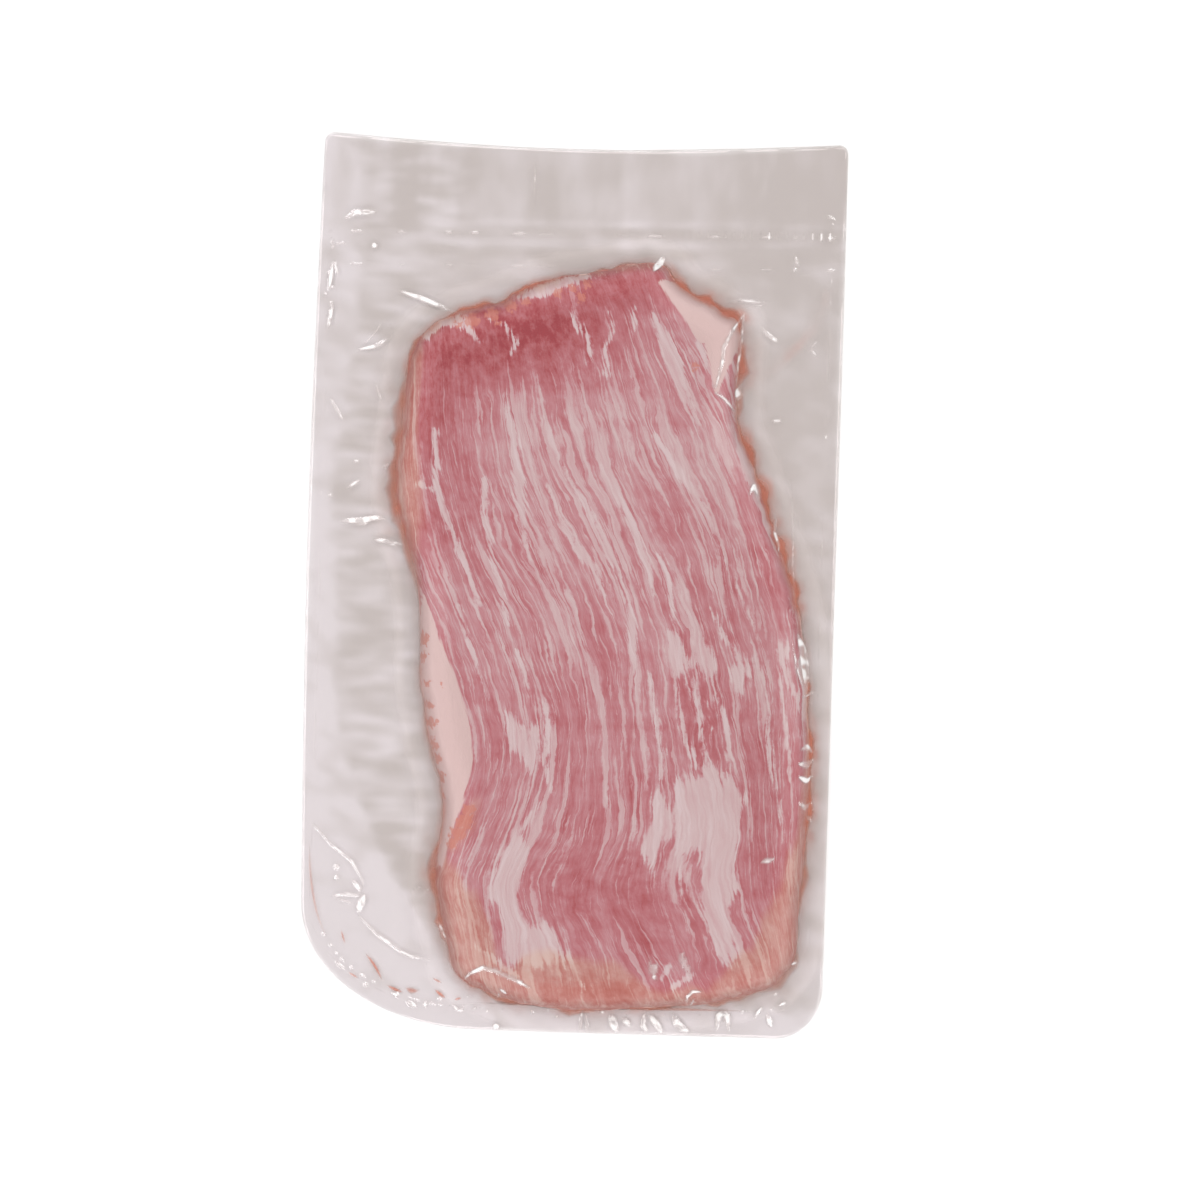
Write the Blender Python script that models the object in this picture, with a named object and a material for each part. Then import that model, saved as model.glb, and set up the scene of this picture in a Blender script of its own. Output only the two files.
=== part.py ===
"""Vacuum pack of pork jowl: one slab of jowl meat sealed in a clear flat pouch, lying on its back.

The pack is one closed body. The pouch's rim, the foot of the meat and the crown of the slab are
rings of points around a common spine, bridged one to the next. The pack rests on a flat foot
under the meat. The slab's lower edge is rounded off it, and the slack film of the margin stands
off the table a little towards the rim.
Lengths are in millimetres up to the last step, which scales the body to metres.
"""

import math

import bmesh
import bpy
from mathutils import Vector
from mathutils.geometry import intersect_line_line_2d

MM = 0.001

# The pouch seen from above. +Y points to its open end, past the vacuum seal.
POUCH_LEFT = -89.4
POUCH_RIGHT = 88.0
POUCH_BOTTOM = -149.8
POUCH_TOP_LEFT = 152.4
POUCH_TOP_RIGHT = 153.4
TOP_EDGE_SAG = 3.6
LEFT_EDGE_BOW = 1.6
TOP_CORNER = (3.0, 3.0)
LOWER_RIGHT_CORNER = (16.0, 18.0)
LOWER_LEFT_CORNER = (60.0, 42.0)
RIM_STEP = 8.0

# The film is modelled thicker than the real two layers of 0.09 mm, so that it is solid.
MARGIN_THICKNESS = 1.0
WELD_THICKNESS = 0.6
RIM_THICKNESS = 0.4
WELD_WIDTH = 4.5
MARGIN_LIFT = 2.0
RIPPLE_HEIGHT = 0.4
VACUUM_SEAL = (109.5, 120.5)
SEAL_STEP = 0.7

# The slab of meat: its outline seen from above, clockwise from its top left corner.
SLAB_OUTLINE = (
    (-56, 82), (-43, 92), (-30, 96), (-18, 102), (0, 107), (24, 111), (33, 103), (46, 96),
    (53, 89), (53, 60), (60, 40), (68, 18), (75, -2), (79, -30), (81, -68), (79, -102),
    (77, -124), (63, -135), (30, -140), (-6, -141), (-33, -133), (-40, -118), (-44, -96),
    (-42, -73), (-50, -39), (-53, 0), (-61, 29), (-60, 56),
)
OUTLINE_PIECES = 5
SPINE = (Vector((-2.0, 74.0)), Vector((18.0, -100.0)))
SLAB_THICKNESS = 12.4
SLAB_UNEVENNESS = 0.9
WAIST_HEIGHT = 5.2
FOOT_INSET = 5.0
FOOT_CORNERS = 10
EDGE_LIFT = 0.5

# Rings from the slab's outline out to where the film lies flat, at most FILM_REACH away or
# FALL_SHARE of the way to the weld: the part of that way, and the part of the waist height left.
FILM_REACH = 9.0
FALL_SHARE = 0.75
FILM_FALL = ((1.0, 0.0), (0.6, 0.09), (0.33, 0.25), (0.13, 0.56), (0.0, 1.0))
# Rings across the margin, as parts of the way from there to the weld.
MARGIN_RINGS = (0.67, 0.33)
# Rings in from the outline: the distance, and the part of the rise from the waist to the crown.
SHOULDER_RISE = ((0.8, 0.38), (2.2, 0.68), (4.5, 0.89), (8.0, 0.985))
# Rings over the crown, as parts of the way from the spine to the shoulder.
CROWN_RINGS = (0.85, 0.65, 0.45)
FLAT_RING = 0.25
# Rings that the underside has too: the rim, the weld, the margin's middle and the slab's edge.
UNDER_RINGS = (0, 1, 3, 8)


def smooth_closed_line(points, pieces):
    """A closed Catmull-Rom curve through the points, in a few straight pieces for each."""
    corners = [Vector(point) for point in points]
    line = []
    for index, start in enumerate(corners):
        before = corners[index - 1]
        end = corners[(index + 1) % len(corners)]
        after = corners[(index + 2) % len(corners)]
        for piece in range(pieces):
            t = piece / pieces
            speed = (end - before) * t
            bend = (2.0 * before - 5.0 * start + 4.0 * end - after) * t**2
            turn = (3.0 * start - before - 3.0 * end + after) * t**3
            line.append(start + 0.5 * (speed + bend + turn))
    return line


def straight_side(start, end, bow):
    """Points from start to end, pushed to the left of the way by bow at the middle."""
    way = end - start
    aside = Vector((-way.y, way.x)).normalized()
    steps = max(2, round(way.length / RIM_STEP))
    side = []
    for step in range(steps):
        t = step / steps
        side.append(start + way * t + aside * (4.0 * bow * t * (1.0 - t)))
    return side


def round_corner(center, radii, first_degrees):
    """A quarter of an ellipse, clockwise from first_degrees."""
    steps = max(2, round(math.pi / 2.0 * max(radii) / RIM_STEP))
    corner = []
    for step in range(steps):
        angle = math.radians(first_degrees - 90.0 * step / steps)
        reach = Vector((radii[0] * math.cos(angle), radii[1] * math.sin(angle)))
        corner.append(center + reach)
    return corner


def pouch_rim():
    """The pouch's edge, clockwise from the end of its top left corner."""
    small_x, small_y = TOP_CORNER
    right_x, right_y = LOWER_RIGHT_CORNER
    left_x, left_y = LOWER_LEFT_CORNER
    top_left = Vector((POUCH_LEFT + small_x, POUCH_TOP_LEFT))
    top_right = Vector((POUCH_RIGHT - small_x, POUCH_TOP_RIGHT))
    right_top = Vector((POUCH_RIGHT, POUCH_TOP_RIGHT - small_y))
    right_bottom = Vector((POUCH_RIGHT, POUCH_BOTTOM + right_y))
    bottom_right = Vector((POUCH_RIGHT - right_x, POUCH_BOTTOM))
    bottom_left = Vector((POUCH_LEFT + left_x, POUCH_BOTTOM))
    left_bottom = Vector((POUCH_LEFT, POUCH_BOTTOM + left_y))
    left_top = Vector((POUCH_LEFT, POUCH_TOP_LEFT - small_y))
    rim = straight_side(top_left, top_right, -TOP_EDGE_SAG)
    rim += round_corner(top_right - Vector((0.0, small_y)), TOP_CORNER, 90.0)
    rim += straight_side(right_top, right_bottom, 0.0)
    rim += round_corner(right_bottom - Vector((right_x, 0.0)), LOWER_RIGHT_CORNER, 0.0)
    rim += straight_side(bottom_right, bottom_left, 0.0)
    rim += round_corner(bottom_left + Vector((0.0, left_y)), LOWER_LEFT_CORNER, -90.0)
    rim += straight_side(left_bottom, left_top, LEFT_EDGE_BOW)
    rim += round_corner(left_top + Vector((small_x, 0.0)), TOP_CORNER, 180.0)
    return rim


def spine_point(point):
    """The point of the spine that is nearest to the point."""
    first, last = SPINE
    way = last - first
    along = (point - first).dot(way) / way.length_squared
    return first + way * min(1.0, max(0.0, along))


def slab_edge(inner, outer, outline):
    """Where the way from the spine out to the rim leaves the slab."""
    farthest = inner
    for index, start in enumerate(outline):
        end = outline[(index + 1) % len(outline)]
        crossing = intersect_line_line_2d(inner, outer, start, end)
        if crossing and (crossing - inner).length > (farthest - inner).length:
            farthest = crossing
    return farthest


def crown_height(point):
    """The top of the slab, a little uneven as cut meat is."""
    waves = math.sin(point.x / 23.0 + 0.6) * math.cos(point.y / 37.0 - 0.4)
    return SLAB_THICKNESS + SLAB_UNEVENNESS * waves


def margin_lift(point, reach, width):
    """How far the film's underside stands off the table, in soft waves that grow to the rim."""
    narrow = min(1.0, width / 25.0)
    waves = 0.5 + 0.5 * math.sin(point.x / 17.0 + point.y / 29.0)
    return EDGE_LIFT + (MARGIN_LIFT - EDGE_LIFT) * narrow * reach**2 * waves


def ripple(point):
    """The height of the small creases that run across the slack margin."""
    return RIPPLE_HEIGHT * max(0.0, math.sin(point.y / 4.2 + 0.8 * math.sin(point.x / 9.0)))


class Spoke:
    """One way from the spine, over the slab's edge, to the pouch's rim."""

    def __init__(self, rim, outline):
        self.rim = rim
        self.spine = spine_point(rim)
        self.edge = slab_edge(self.spine, rim, outline)
        self.width = (rim - self.edge).length
        self.outward = (rim - self.edge).normalized()
        self.weld = self.width - WELD_WIDTH
        self.fall = min(FILM_REACH, FALL_SHARE * self.weld)

    def margin(self, distance, thickness, waist_part=0.0, slack=0.0):
        """(x, y, underside, top) at a distance outside the slab."""
        point = self.edge + self.outward * distance
        lift = margin_lift(point, distance / self.width, self.width)
        top = lift + thickness + slack * ripple(point)
        top += waist_part * (WAIST_HEIGHT - lift - thickness)
        return point.x, point.y, lift, top

    def crown(self, point, rise):
        """(x, y, underside, top) over the slab."""
        top = WAIST_HEIGHT + rise * (crown_height(point) - WAIST_HEIGHT)
        return point.x, point.y, 0.0, top

    def foot(self):
        """The spoke's point on the flat foot that the pack rests on."""
        point = self.edge - self.outward * FOOT_INSET
        return point.x, point.y, 0.0

    def stations(self):
        """The spoke's points, one for each ring, from the rim inwards."""
        found = [self.margin(self.width, RIM_THICKNESS)]
        found.append(self.margin(self.weld, WELD_THICKNESS))
        for part in MARGIN_RINGS:
            distance = self.fall + part * (self.weld - self.fall)
            found.append(self.margin(distance, MARGIN_THICKNESS, slack=1.0))
        for part, waist_part in FILM_FALL:
            found.append(self.margin(part * self.fall, MARGIN_THICKNESS, waist_part))
        for distance, rise in SHOULDER_RISE:
            found.append(self.crown(self.edge - self.outward * distance, rise))
        shoulder = self.edge - self.outward * SHOULDER_RISE[-1][0]
        for part in CROWN_RINGS:
            found.append(self.crown(self.spine.lerp(shoulder, part), 1.0))
        flat = self.spine.lerp(shoulder, FLAT_RING)
        found.append((flat.x, flat.y, 0.0, SLAB_THICKNESS))
        return found


def add_loop(mesh, points):
    """A closed loop of edges through the points."""
    verts = [mesh.verts.new(point) for point in points]
    return [mesh.edges.new((verts[index - 1], vert)) for index, vert in enumerate(verts)]


def make_shell(mesh):
    """The closed skin of the pack: rings bridged over the top and under it, and two caps."""
    outline = smooth_closed_line(SLAB_OUTLINE, OUTLINE_PIECES)
    spokes = [Spoke(rim, outline) for rim in pouch_rim()]
    rings = list(zip(*[spoke.stations() for spoke in spokes]))
    upper = [add_loop(mesh, [(x, y, top) for x, y, _, top in ring]) for ring in rings]
    under = []
    for number in UNDER_RINGS:
        under.append(add_loop(mesh, [(x, y, low) for x, y, low, _ in rings[number]]))
    for outer, inner in zip(upper, upper[1:]):
        bmesh.ops.bridge_loops(mesh, edges=outer + inner)
    for outer, inner in zip(under, under[1:]):
        bmesh.ops.bridge_loops(mesh, edges=outer + inner)
    bmesh.ops.bridge_loops(mesh, edges=upper[0] + under[0])
    corners = [round(n * len(spokes) / FOOT_CORNERS) for n in range(FOOT_CORNERS)]
    foot = add_loop(mesh, [spokes[corner].foot() for corner in corners])
    bmesh.ops.bridge_loops(mesh, edges=under[-1] + foot)
    bmesh.ops.contextual_create(mesh, geom=upper[-1])
    bmesh.ops.contextual_create(mesh, geom=foot)
    bmesh.ops.recalc_face_normals(mesh, faces=mesh.faces[:])


def press_vacuum_seal(mesh):
    """The seal across the pouch: a band pressed thinner than the film beside it."""
    low, high = VACUUM_SEAL
    for level in (low, low + SEAL_STEP, high - SEAL_STEP, high):
        everything = mesh.verts[:] + mesh.edges[:] + mesh.faces[:]
        bmesh.ops.bisect_plane(
            mesh, geom=everything, plane_co=(0.0, level, 0.0), plane_no=(0.0, 1.0, 0.0)
        )
    mesh.normal_update()
    for vert in mesh.verts:
        pressed = low + 0.5 * SEAL_STEP < vert.co.y < high - 0.5 * SEAL_STEP
        upper = all(face.normal.z > 0.5 for face in vert.link_faces)
        if pressed and upper:
            vert.co.z -= MARGIN_THICKNESS - WELD_THICKNESS


def centre_over_origin(mesh):
    """Puts the middle of the pack's box over the origin."""
    xs = [vert.co.x for vert in mesh.verts]
    ys = [vert.co.y for vert in mesh.verts]
    middle = Vector(((min(xs) + max(xs)) / 2.0, (min(ys) + max(ys)) / 2.0, 0.0))
    bmesh.ops.translate(mesh, verts=mesh.verts[:], vec=-middle)


def make_material():
    """Pink meat under glossy film."""
    material = bpy.data.materials.new("jowl_in_film")
    material.use_nodes = True
    shader = material.node_tree.nodes["Principled BSDF"]
    shader.inputs["Base Color"].default_value = (0.56, 0.27, 0.27, 1.0)
    shader.inputs["Roughness"].default_value = 0.25
    shader.inputs["Metallic"].default_value = 0.0
    return material


def make_pack():
    mesh = bmesh.new()
    make_shell(mesh)
    press_vacuum_seal(mesh)
    centre_over_origin(mesh)
    bmesh.ops.triangulate(mesh, faces=mesh.faces[:])
    bmesh.ops.scale(mesh, vec=(MM, MM, MM), verts=mesh.verts[:])
    data = bpy.data.meshes.new("vacuum_pack")
    mesh.to_mesh(data)
    mesh.free()
    data.materials.append(make_material())
    data.shade_smooth()
    data.set_sharp_from_angle(angle=math.radians(40.0))
    pack = bpy.data.objects.new("vacuum_pack", data)
    bpy.context.scene.collection.objects.link(pack)
    return pack


def clear_scene():
    for thing in list(bpy.data.objects):
        bpy.data.objects.remove(thing)


clear_scene()
make_pack()
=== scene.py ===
import math

import bpy
import numpy as np
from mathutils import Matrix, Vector, noise


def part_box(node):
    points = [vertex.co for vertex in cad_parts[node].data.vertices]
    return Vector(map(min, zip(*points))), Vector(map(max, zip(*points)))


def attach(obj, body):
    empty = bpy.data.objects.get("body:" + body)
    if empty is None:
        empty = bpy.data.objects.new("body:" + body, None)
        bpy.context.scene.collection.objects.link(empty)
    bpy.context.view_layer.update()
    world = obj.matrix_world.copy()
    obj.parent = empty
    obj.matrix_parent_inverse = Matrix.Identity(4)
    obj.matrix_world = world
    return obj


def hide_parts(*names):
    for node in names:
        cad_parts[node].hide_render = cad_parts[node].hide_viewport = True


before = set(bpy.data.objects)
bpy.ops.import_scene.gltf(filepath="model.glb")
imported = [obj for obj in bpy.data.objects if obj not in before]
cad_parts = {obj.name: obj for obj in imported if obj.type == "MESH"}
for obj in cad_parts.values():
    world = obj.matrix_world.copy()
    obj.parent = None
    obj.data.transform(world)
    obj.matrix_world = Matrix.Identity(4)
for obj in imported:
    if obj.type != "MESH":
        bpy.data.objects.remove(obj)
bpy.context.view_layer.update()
scene = bpy.context.scene
mm = 0.001

# The pouch seen from above, in millimetres. +y points to its open end, past the vacuum seal.
pouch = {
    "left": -89.4,
    "leftBow": 1.6,
    "right": 88,
    "bottom": -149.8,
    "topLeft": 152.4,
    "topRight": 153.4,
    "topSag": 3.6,
    "topCorner": (3, 3),
    "lowerRightCorner": (16, 18),
    "lowerLeftCorner": (60, 42),
    "weldLeft": -86.5,
    "weldRight": 83.2,
    "weldBottom": -141.6,
    "sealLow": 109.4,
    "sealHigh": 120.4,
    "sealTilt": 0.016,    # how much the seal rises to the right
    "lowerLeftWeld": (57.5, 36),      # radii of the welds inside the round lower corners
    "lowerRightWeld": (14, 16),
}

# The slab of meat, clockwise from its top left corner.
slab = {
    "outline": (
        (-56, 82), (-43, 92), (-30, 96), (-18, 102), (0, 107), (24, 111), (33, 103), (46, 96),
        (53, 89), (53, 60), (60, 40), (68, 18), (75, -2), (79, -30), (81, -68), (79, -102),
        (77, -124), (63, -135), (30, -140), (-6, -141), (-33, -133), (-40, -118), (-44, -96),
        (-42, -73), (-50, -39), (-53, 0), (-61, 29), (-60, 56),
    ),
    "crown": 12.2,        # height of the top
    "unevenness": 0.9,
    "waist": 5.2,         # height where the side stands out farthest
    "shoulder": 8,        # how far in the top is still falling
    "raggedness": 0.55,   # small bumps of the cut edge
    "voxel": 0.95,
}

# The drawing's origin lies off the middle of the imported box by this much.
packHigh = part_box("vacuum_pack")[1]
place = np.array((packHigh.x / mm - pouch["right"], packHigh.y / mm - pouch["topRight"], 0))


def readSpots(items, name="co"):
    # one row for each vertex, or for each face's center
    spots = np.empty(len(items) * 3, np.float32)
    items.foreach_get(name, spots)
    return spots.reshape(-1, 3).astype(float)


def readPoints(piece):
    return readSpots(piece.data.vertices) / mm - place


def writePoints(piece, points):
    piece.data.vertices.foreach_set("co", ((points + place) * mm).astype(np.float32).ravel())
    piece.data.update()


def storeFields(piece, **fields):
    # values at the vertices, for the material to read
    for name, values in fields.items():
        field = piece.data.attributes.new(name, "FLOAT", "POINT")
        field.data.foreach_set("value", np.asarray(values, np.float32))


def softStep(low, high, value):
    t = np.clip((value - low) / (high - low), 0, 1)
    return t * t * (3 - 2 * t)


def throughPoints(knots, values, where):
    # a smooth curve through the values at the knots, straight beyond its ends
    knots = np.array(knots, float)
    values = np.array(values, float)
    slopes = np.gradient(values, knots)
    near = np.clip(where, knots[0], knots[-1])
    left = np.clip(np.searchsorted(knots, near, side="right") - 1, 0, len(knots) - 2)
    span = knots[left + 1] - knots[left]
    t = (near - knots[left]) / span
    start = values[left] * (1 + 2 * t) * (1 - t) ** 2 + values[left + 1] * t**2 * (3 - 2 * t)
    turn = span * (slopes[left] * t * (1 - t) ** 2 - slopes[left + 1] * t**2 * (1 - t))
    beyond = where - near
    return start + turn + beyond * np.where(beyond < 0, slopes[0], slopes[-1])


def closedCurve(points, pieces):
    # a Catmull-Rom curve through the points
    corners = np.array(points, float)
    before, end, after = (np.roll(corners, step, axis=0) for step in (1, -1, -2))
    rows = []
    for piece in range(pieces):
        t = piece / pieces
        bend = (2 * before - 5 * corners + 4 * end - after) * t**2
        turn = (3 * corners - before - 3 * end + after) * t**3
        rows.append(corners + 0.5 * ((end - before) * t + bend + turn))
    return np.stack(rows, axis=1).reshape(-1, 2)


def walked(path):
    # the way walked up to each point of a path
    return np.concatenate(([0], np.cumsum(np.hypot(*np.diff(path, axis=0).T))))


def pathGap(x, y, path, closed=False):
    # distance to a path, and how far along it the nearest point lies, from 0 to 1
    corners = np.array(path, float)
    if closed:
        corners = np.vstack((corners, corners[:1]))
    run = walked(corners)
    nearest = np.full(x.shape, 1e9)
    part = np.zeros(x.shape)
    for start, end, before in zip(corners, corners[1:], run):
        length = np.hypot(*(end - start))
        way = (end - start) / length
        along = np.clip((x - start[0]) * way[0] + (y - start[1]) * way[1], 0, length)
        gap = np.hypot(x - start[0] - along * way[0], y - start[1] - along * way[1])
        part = np.where(gap < nearest, (before + along) / run[-1], part)
        nearest = np.minimum(nearest, gap)
    return nearest, part


def insideGap(x, y, line):
    # distance to a closed line, more than 0 inside it
    nearest = pathGap(x, y, line, closed=True)[0]
    inside = np.zeros(x.shape, bool)
    for start, end in zip(line, np.roll(line, -1, axis=0)):
        crosses = (start[1] > y) != (end[1] > y)
        rise = end[1] - start[1] if end[1] != start[1] else 1
        inside ^= crosses & (x < start[0] + (end[0] - start[0]) * (y - start[1]) / rise)
    return np.where(inside, nearest, -nearest)


def waves(x, y, sizeX, sizeY, seed):
    # smooth noise from about -1 to 1, with humps of the given size
    spots = zip((x / sizeX).tolist(), (y / sizeY).tolist())
    return np.array([noise.noise(Vector((a, b, seed))) for a, b in spots]) * 1.6


def slabLine():
    line = closedCurve(slab["outline"], 8)
    middle = line.mean(axis=0)
    outward = (line - middle) / np.hypot(*(line - middle).T)[:, None]
    bumps = waves(line[:, 0], line[:, 1], 5, 5, 3.1) + 0.6 * waves(line[:, 0], line[:, 1], 2.2, 2.2, 8.4)
    return line + outward * (slab["raggedness"] * bumps)[:, None]


def slabTop(x, y, inside):
    # height of the meat's top, from the waist at its edge up to the crown
    swell = np.sin(x / 23 + 0.6) * np.cos(y / 37 - 0.4)
    crown = slab["crown"] + slab["unevenness"] * swell
    lumps = 0.16 * waves(x, y, 9, 24, 5.5) + 0.3 * waves(x, y, 21, 30, 1.7)
    rise = 1 - (1 - np.clip(inside / slab["shoulder"], 0, 1)) ** 4
    return slab["waist"] + rise * (crown + lumps - slab["waist"])


def deselectAll():
    bpy.ops.object.select_all(action="DESELECT")


def applyModifier(piece, kind, name, **settings):
    modifier = piece.modifiers.new(name, kind)
    for setting, value in settings.items():
        setattr(modifier, setting, value)
    bpy.ops.object.modifier_apply(modifier=name)


def joinPieces(parts):
    for part in parts:
        part.select_set(True)
    bpy.context.view_layer.objects.active = parts[0]
    bpy.ops.object.join()
    return parts[0]


def editMode(action, kind="FACE"):
    bpy.ops.object.mode_set(mode="EDIT")
    bpy.ops.mesh.select_mode(type=kind)
    bpy.ops.mesh.select_all(action=action)


def objectMode():
    bpy.ops.object.mode_set(mode="OBJECT")


def smoothOutside():
    # turns all faces outwards, shades them smooth and leaves edit mode
    editMode("SELECT")
    bpy.ops.mesh.normals_make_consistent(inside=False)
    objectMode()
    bpy.ops.object.shade_smooth()


film = {
    "columns": 104,        # squares of the plain upper film, halved beside the meat and again at folds
    "rows": 178,
    "lowColumns": 64,      # squares of the lower film
    "lowRows": 108,
    "overMeat": 0.22,      # clear height of the film over the meat
    "reach": 9,            # how far from the slab the film comes down
    "fallShare": 0.75,
    "gap": 0.45,           # between the two layers in the margin
    "weldGap": 0.2,
    "lift": 0.55,          # underside of the margin over the table
    "edgeLift": 1.4,       # what the slack rim rises more
    "smearWidth": 6,       # juice smeared on the film round the meat
    "leastSmear": 0.2,
    "milkyWidth": 5,       # the film is milky where it falls from the meat to the table, a white that is partly painted light lifting the shade there
    "foldSlope": 0.42,     # how steep the sides of a sharp fold are
    "ripple": 0.55,        # height of the open flap's ripples
}

# Where the left margin's light strip ends and the painted shadow of the pouch on the table begins: x at some
# heights y.
stripY = (-128, -107, -99, -85, -55, -40, -6, 12, 28, 57, 79, 86, 108, 122, 140, 152)
stripX = (-38, -54, -59, -66, -78, -81, -81, -83, -84, -81, -79, -78, -76, -76, -77, -85)

# Sharp folds of the film: half the width of the fold's foot, and the points along the fold.
folds = (
    # upper left, from the flap down
    (1.1, ((-81.8, 123.1), (-78.3, 125.6), (-71.7, 125.8))), (0.7, ((-85.1, 114.6), (-81, 115.3))),
    (1, ((-86.5, 99.1), (-85.5, 108.1))), (0.7, ((-84.9, 108.8), (-83.6, 104))),
    (0.9, ((-86.1, 86.6), (-85.1, 95))), (1.1, ((-62.1, 99.3), (-53.5, 96.6), (-43.9, 92.8))),
    (1, ((-75.7, 79.2), (-69.7, 80.6), (-66.3, 83.1))),
    (0.5, ((-74.5, 80.4), (-69.8, 85.9), (-67.7, 90.2))), (0.8, ((-84.6, 62.2), (-80.3, 55.2))),
    (0.6, ((-69.9, 68.1), (-67.3, 61.6))), (0.8, ((-76.5, 41.3), (-74.3, 41.4))),
    (0.8, ((-78.5, 31.8), (-73.8, 35.3))), (1, ((-66.3, 38.9), (-64, 41.3))),
    (1.3, ((-79.6, 20.9), (-76.2, 21.2), (-72.5, 21.3), (-68.2, 22.4), (-65.3, 22.3))),
    (0.8, ((-74.8, 19.8), (-71, 20.2))), (1, ((-68.9, 15), (-65.1, 14.7), (-62.2, 14), (-58.4, 13.7))),
    # lower left
    (0.7, ((-86.5, -81.7), (-79.9, -88.7), (-72.6, -94.1), (-68.7, -100.7), (-68.9, -103.5))),
    (1, ((-72.1, -100.4), (-69.2, -104.2))), (0.9, ((-79, -106.1), (-74.3, -105.3), (-68.5, -105.8))),
    (0.6, ((-77.4, -106.8), (-71.6, -108.7))), (1.5, ((-68.1, -105.5), (-69.9, -111.3))),
    (0.8, ((-70, -112.3), (-63.5, -118.5), (-55, -124.2), (-51.9, -125.6), (-44.6, -126.7))),
    (0.9, ((-42.7, -113), (-40.7, -117.1), (-39.6, -119.1))), (0.9, ((-76.9, -128.5), (-74, -130.8))),
    (0.8, ((-57.7, -138.3), (-55.6, -139.3))), (1.3, ((-52.5, -141.2), (-49.3, -142.7))),
    (0.8, ((-46.5, -140.8), (-46.2, -142.9))),
    (0.8, ((-36.9, -141.5), (-35.5, -143.2), (-33.8, -143.3), (-33.5, -141.6))),
    (0.6, ((-21.3, -135.5), (-21.4, -137.2), (-22.2, -139))), (0.9, ((-10.4, -142.5), (-9.6, -144.3))),
    (1.15, ((-33.3, -132.4), (-31, -129.4), (-26.9, -127.4), (-22.7, -128.2), (-16.6, -130.8),
     (-10.7, -133.6))), (0.8, ((-21, -134.3), (-18.4, -136.1))),
    # over the meat's lower end
    (1.2, ((29.2, -123.4), (30.2, -127.1), (31.5, -130.1))), (0.8, ((30.8, -124), (32, -128.2))),
    (1.5, ((39.4, -120.1), (40.5, -123.7), (42.6, -127.1))),
    (0.9, ((41.9, -137.6), (42, -135.2), (43.5, -133.3), (46.8, -133.2))),
    (0.7, ((44.4, -135.7), (43, -139.6))),
    # right edge of the meat
    (1.1, ((57.5, 33.7), (59.1, 36.8), (60.6, 33.4))),
    (1, ((65.8, 29.2), (67.3, 25.8), (66.7, 21.7), (68.2, 17.4), (68, 14.7))),
    (2, ((75.6, -12.9), (77.5, -17.9), (78.7, -24.6), (79.2, -31.4))),
    (0.7, ((73.3, -14.6), (75.6, -24.7), (78.2, -32.1))), (0.9, ((77.3, -33.8), (80, -32.7), (82.3, -32))),
    (1.3, ((77.5, -51.1), (79.8, -50.3), (81.9, -52.3))), (1.5, ((77, -55.8), (80, -56.4), (82.4, -55))),
    (1.3, ((77.1, -60.2), (80.2, -61.8), (82.5, -60.4))),
    (1.2, ((77.4, -68.7), (79.5, -70.7), (82.5, -69.6))), (1.1, ((80.6, -73.7), (82.7, -76))),
    (0.9, ((76.7, -123.6), (79.1, -123.9))), (1.2, ((65.5, -88.9), (69.5, -87.9))),
    (0.5, ((72.3, 37.8), (73.2, 19.2), (74.2, -1.1), (75.6, -12.9))),
    # upper right
    (1.7, ((26.6, 113.8), (23.4, 108.1))), (0.7, ((27.5, 112.7), (29.3, 109.7))),
    (1, ((54.4, 95.2), (50.4, 88.9), (47.5, 82.9), (47.1, 78.1), (45.1, 69))),
    (0.9, ((54.4, 95.2), (53.7, 88.3), (53.4, 83.6), (52.4, 76.4), (52.3, 70.2))),
    (1.7, ((53.2, 70.1), (53, 65.5))), (0.8, ((44.6, 67.8), (48.5, 65.3), (52.9, 60.7))),
    (0.6, ((53, 65.5), (53.8, 62.7))), (0.6, ((81.2, 129.1), (83.8, 128.2))),
    (0.8, ((70.9, 115.5), (71.5, 112.7), (72.5, 112.4))), (0.7, ((71, 111.7), (70.8, 109.8))),
    (0.7, ((47.4, 98.7), (53.1, 99.9), (59.2, 99.4), (61.9, 99.5))), (0.5, ((54.2, 97.4), (61.6, 98.5))),
    (1.1, ((60.5, 90.4), (63, 88.1), (65.7, 86.3))), (0.6, ((77, 84.1), (79.6, 81.5))),
    (0.6, ((77.1, 84.3), (79.2, 86.7))), (0.7, ((64.4, 59.4), (68.6, 59.5))),
    (0.5, ((-17.6, 145.4), (-17.9, 137.7), (-17.6, 129.9))),
)
# Pinches that hang from the lower weld.
hangingFolds = (
    (1, ((6.9, -142.6), (6.4, -149.3))), (1, ((8.2, -142.9), (8.7, -149.2))),
    (1.7, ((16.5, -143.2), (18.8, -149.1))), (1.2, ((20.5, -144.3), (23.6, -147))),
    (1.2, ((27.9, -142.8), (27.5, -146.5), (29.1, -148.8))),
    (1.4, ((29.6, -143), (32, -145.7), (34.2, -149))),
    (1.6, ((37.7, -142.5), (39, -145.5), (41.2, -147.3), (42.9, -148.1))),
    (1.3, ((52.7, -147.5), (53.1, -142.6), (54.6, -141.4), (56.1, -142.6), (56.8, -147.4))),
    (0.9, ((65.2, -142.9), (67.8, -139.1))), (1.1, ((69.7, -141.4), (71.1, -145.7))),
    (0.9, ((73.5, -138.4), (75.9, -137.4))),
)
# Single dents: x, y, radius.
dents = (
    (-77.7, -96.2, 1.3), (-77.6, -99.7, 1.1), (-51.6, -103.1, 0.6), (-49.6, -102.5, 0.6), (-46.6, -103, 0.6),
    (-83.9, 29.5, 0.7), (-66.6, -135.7, 1.1), (-63.9, -134.4, 0.7), (-41.4, -139.4, 0.9),
    (-31.8, -138.5, 0.7), (-22.1, -148.6, 1.3), (13.8, -142.7, 0.9), (61.2, -140.9, 0.8),
    (71.1, -139.7, 0.7), (72.2, -134.8, 0.8), (-71.5, 114.5, 1.1),
)
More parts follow.
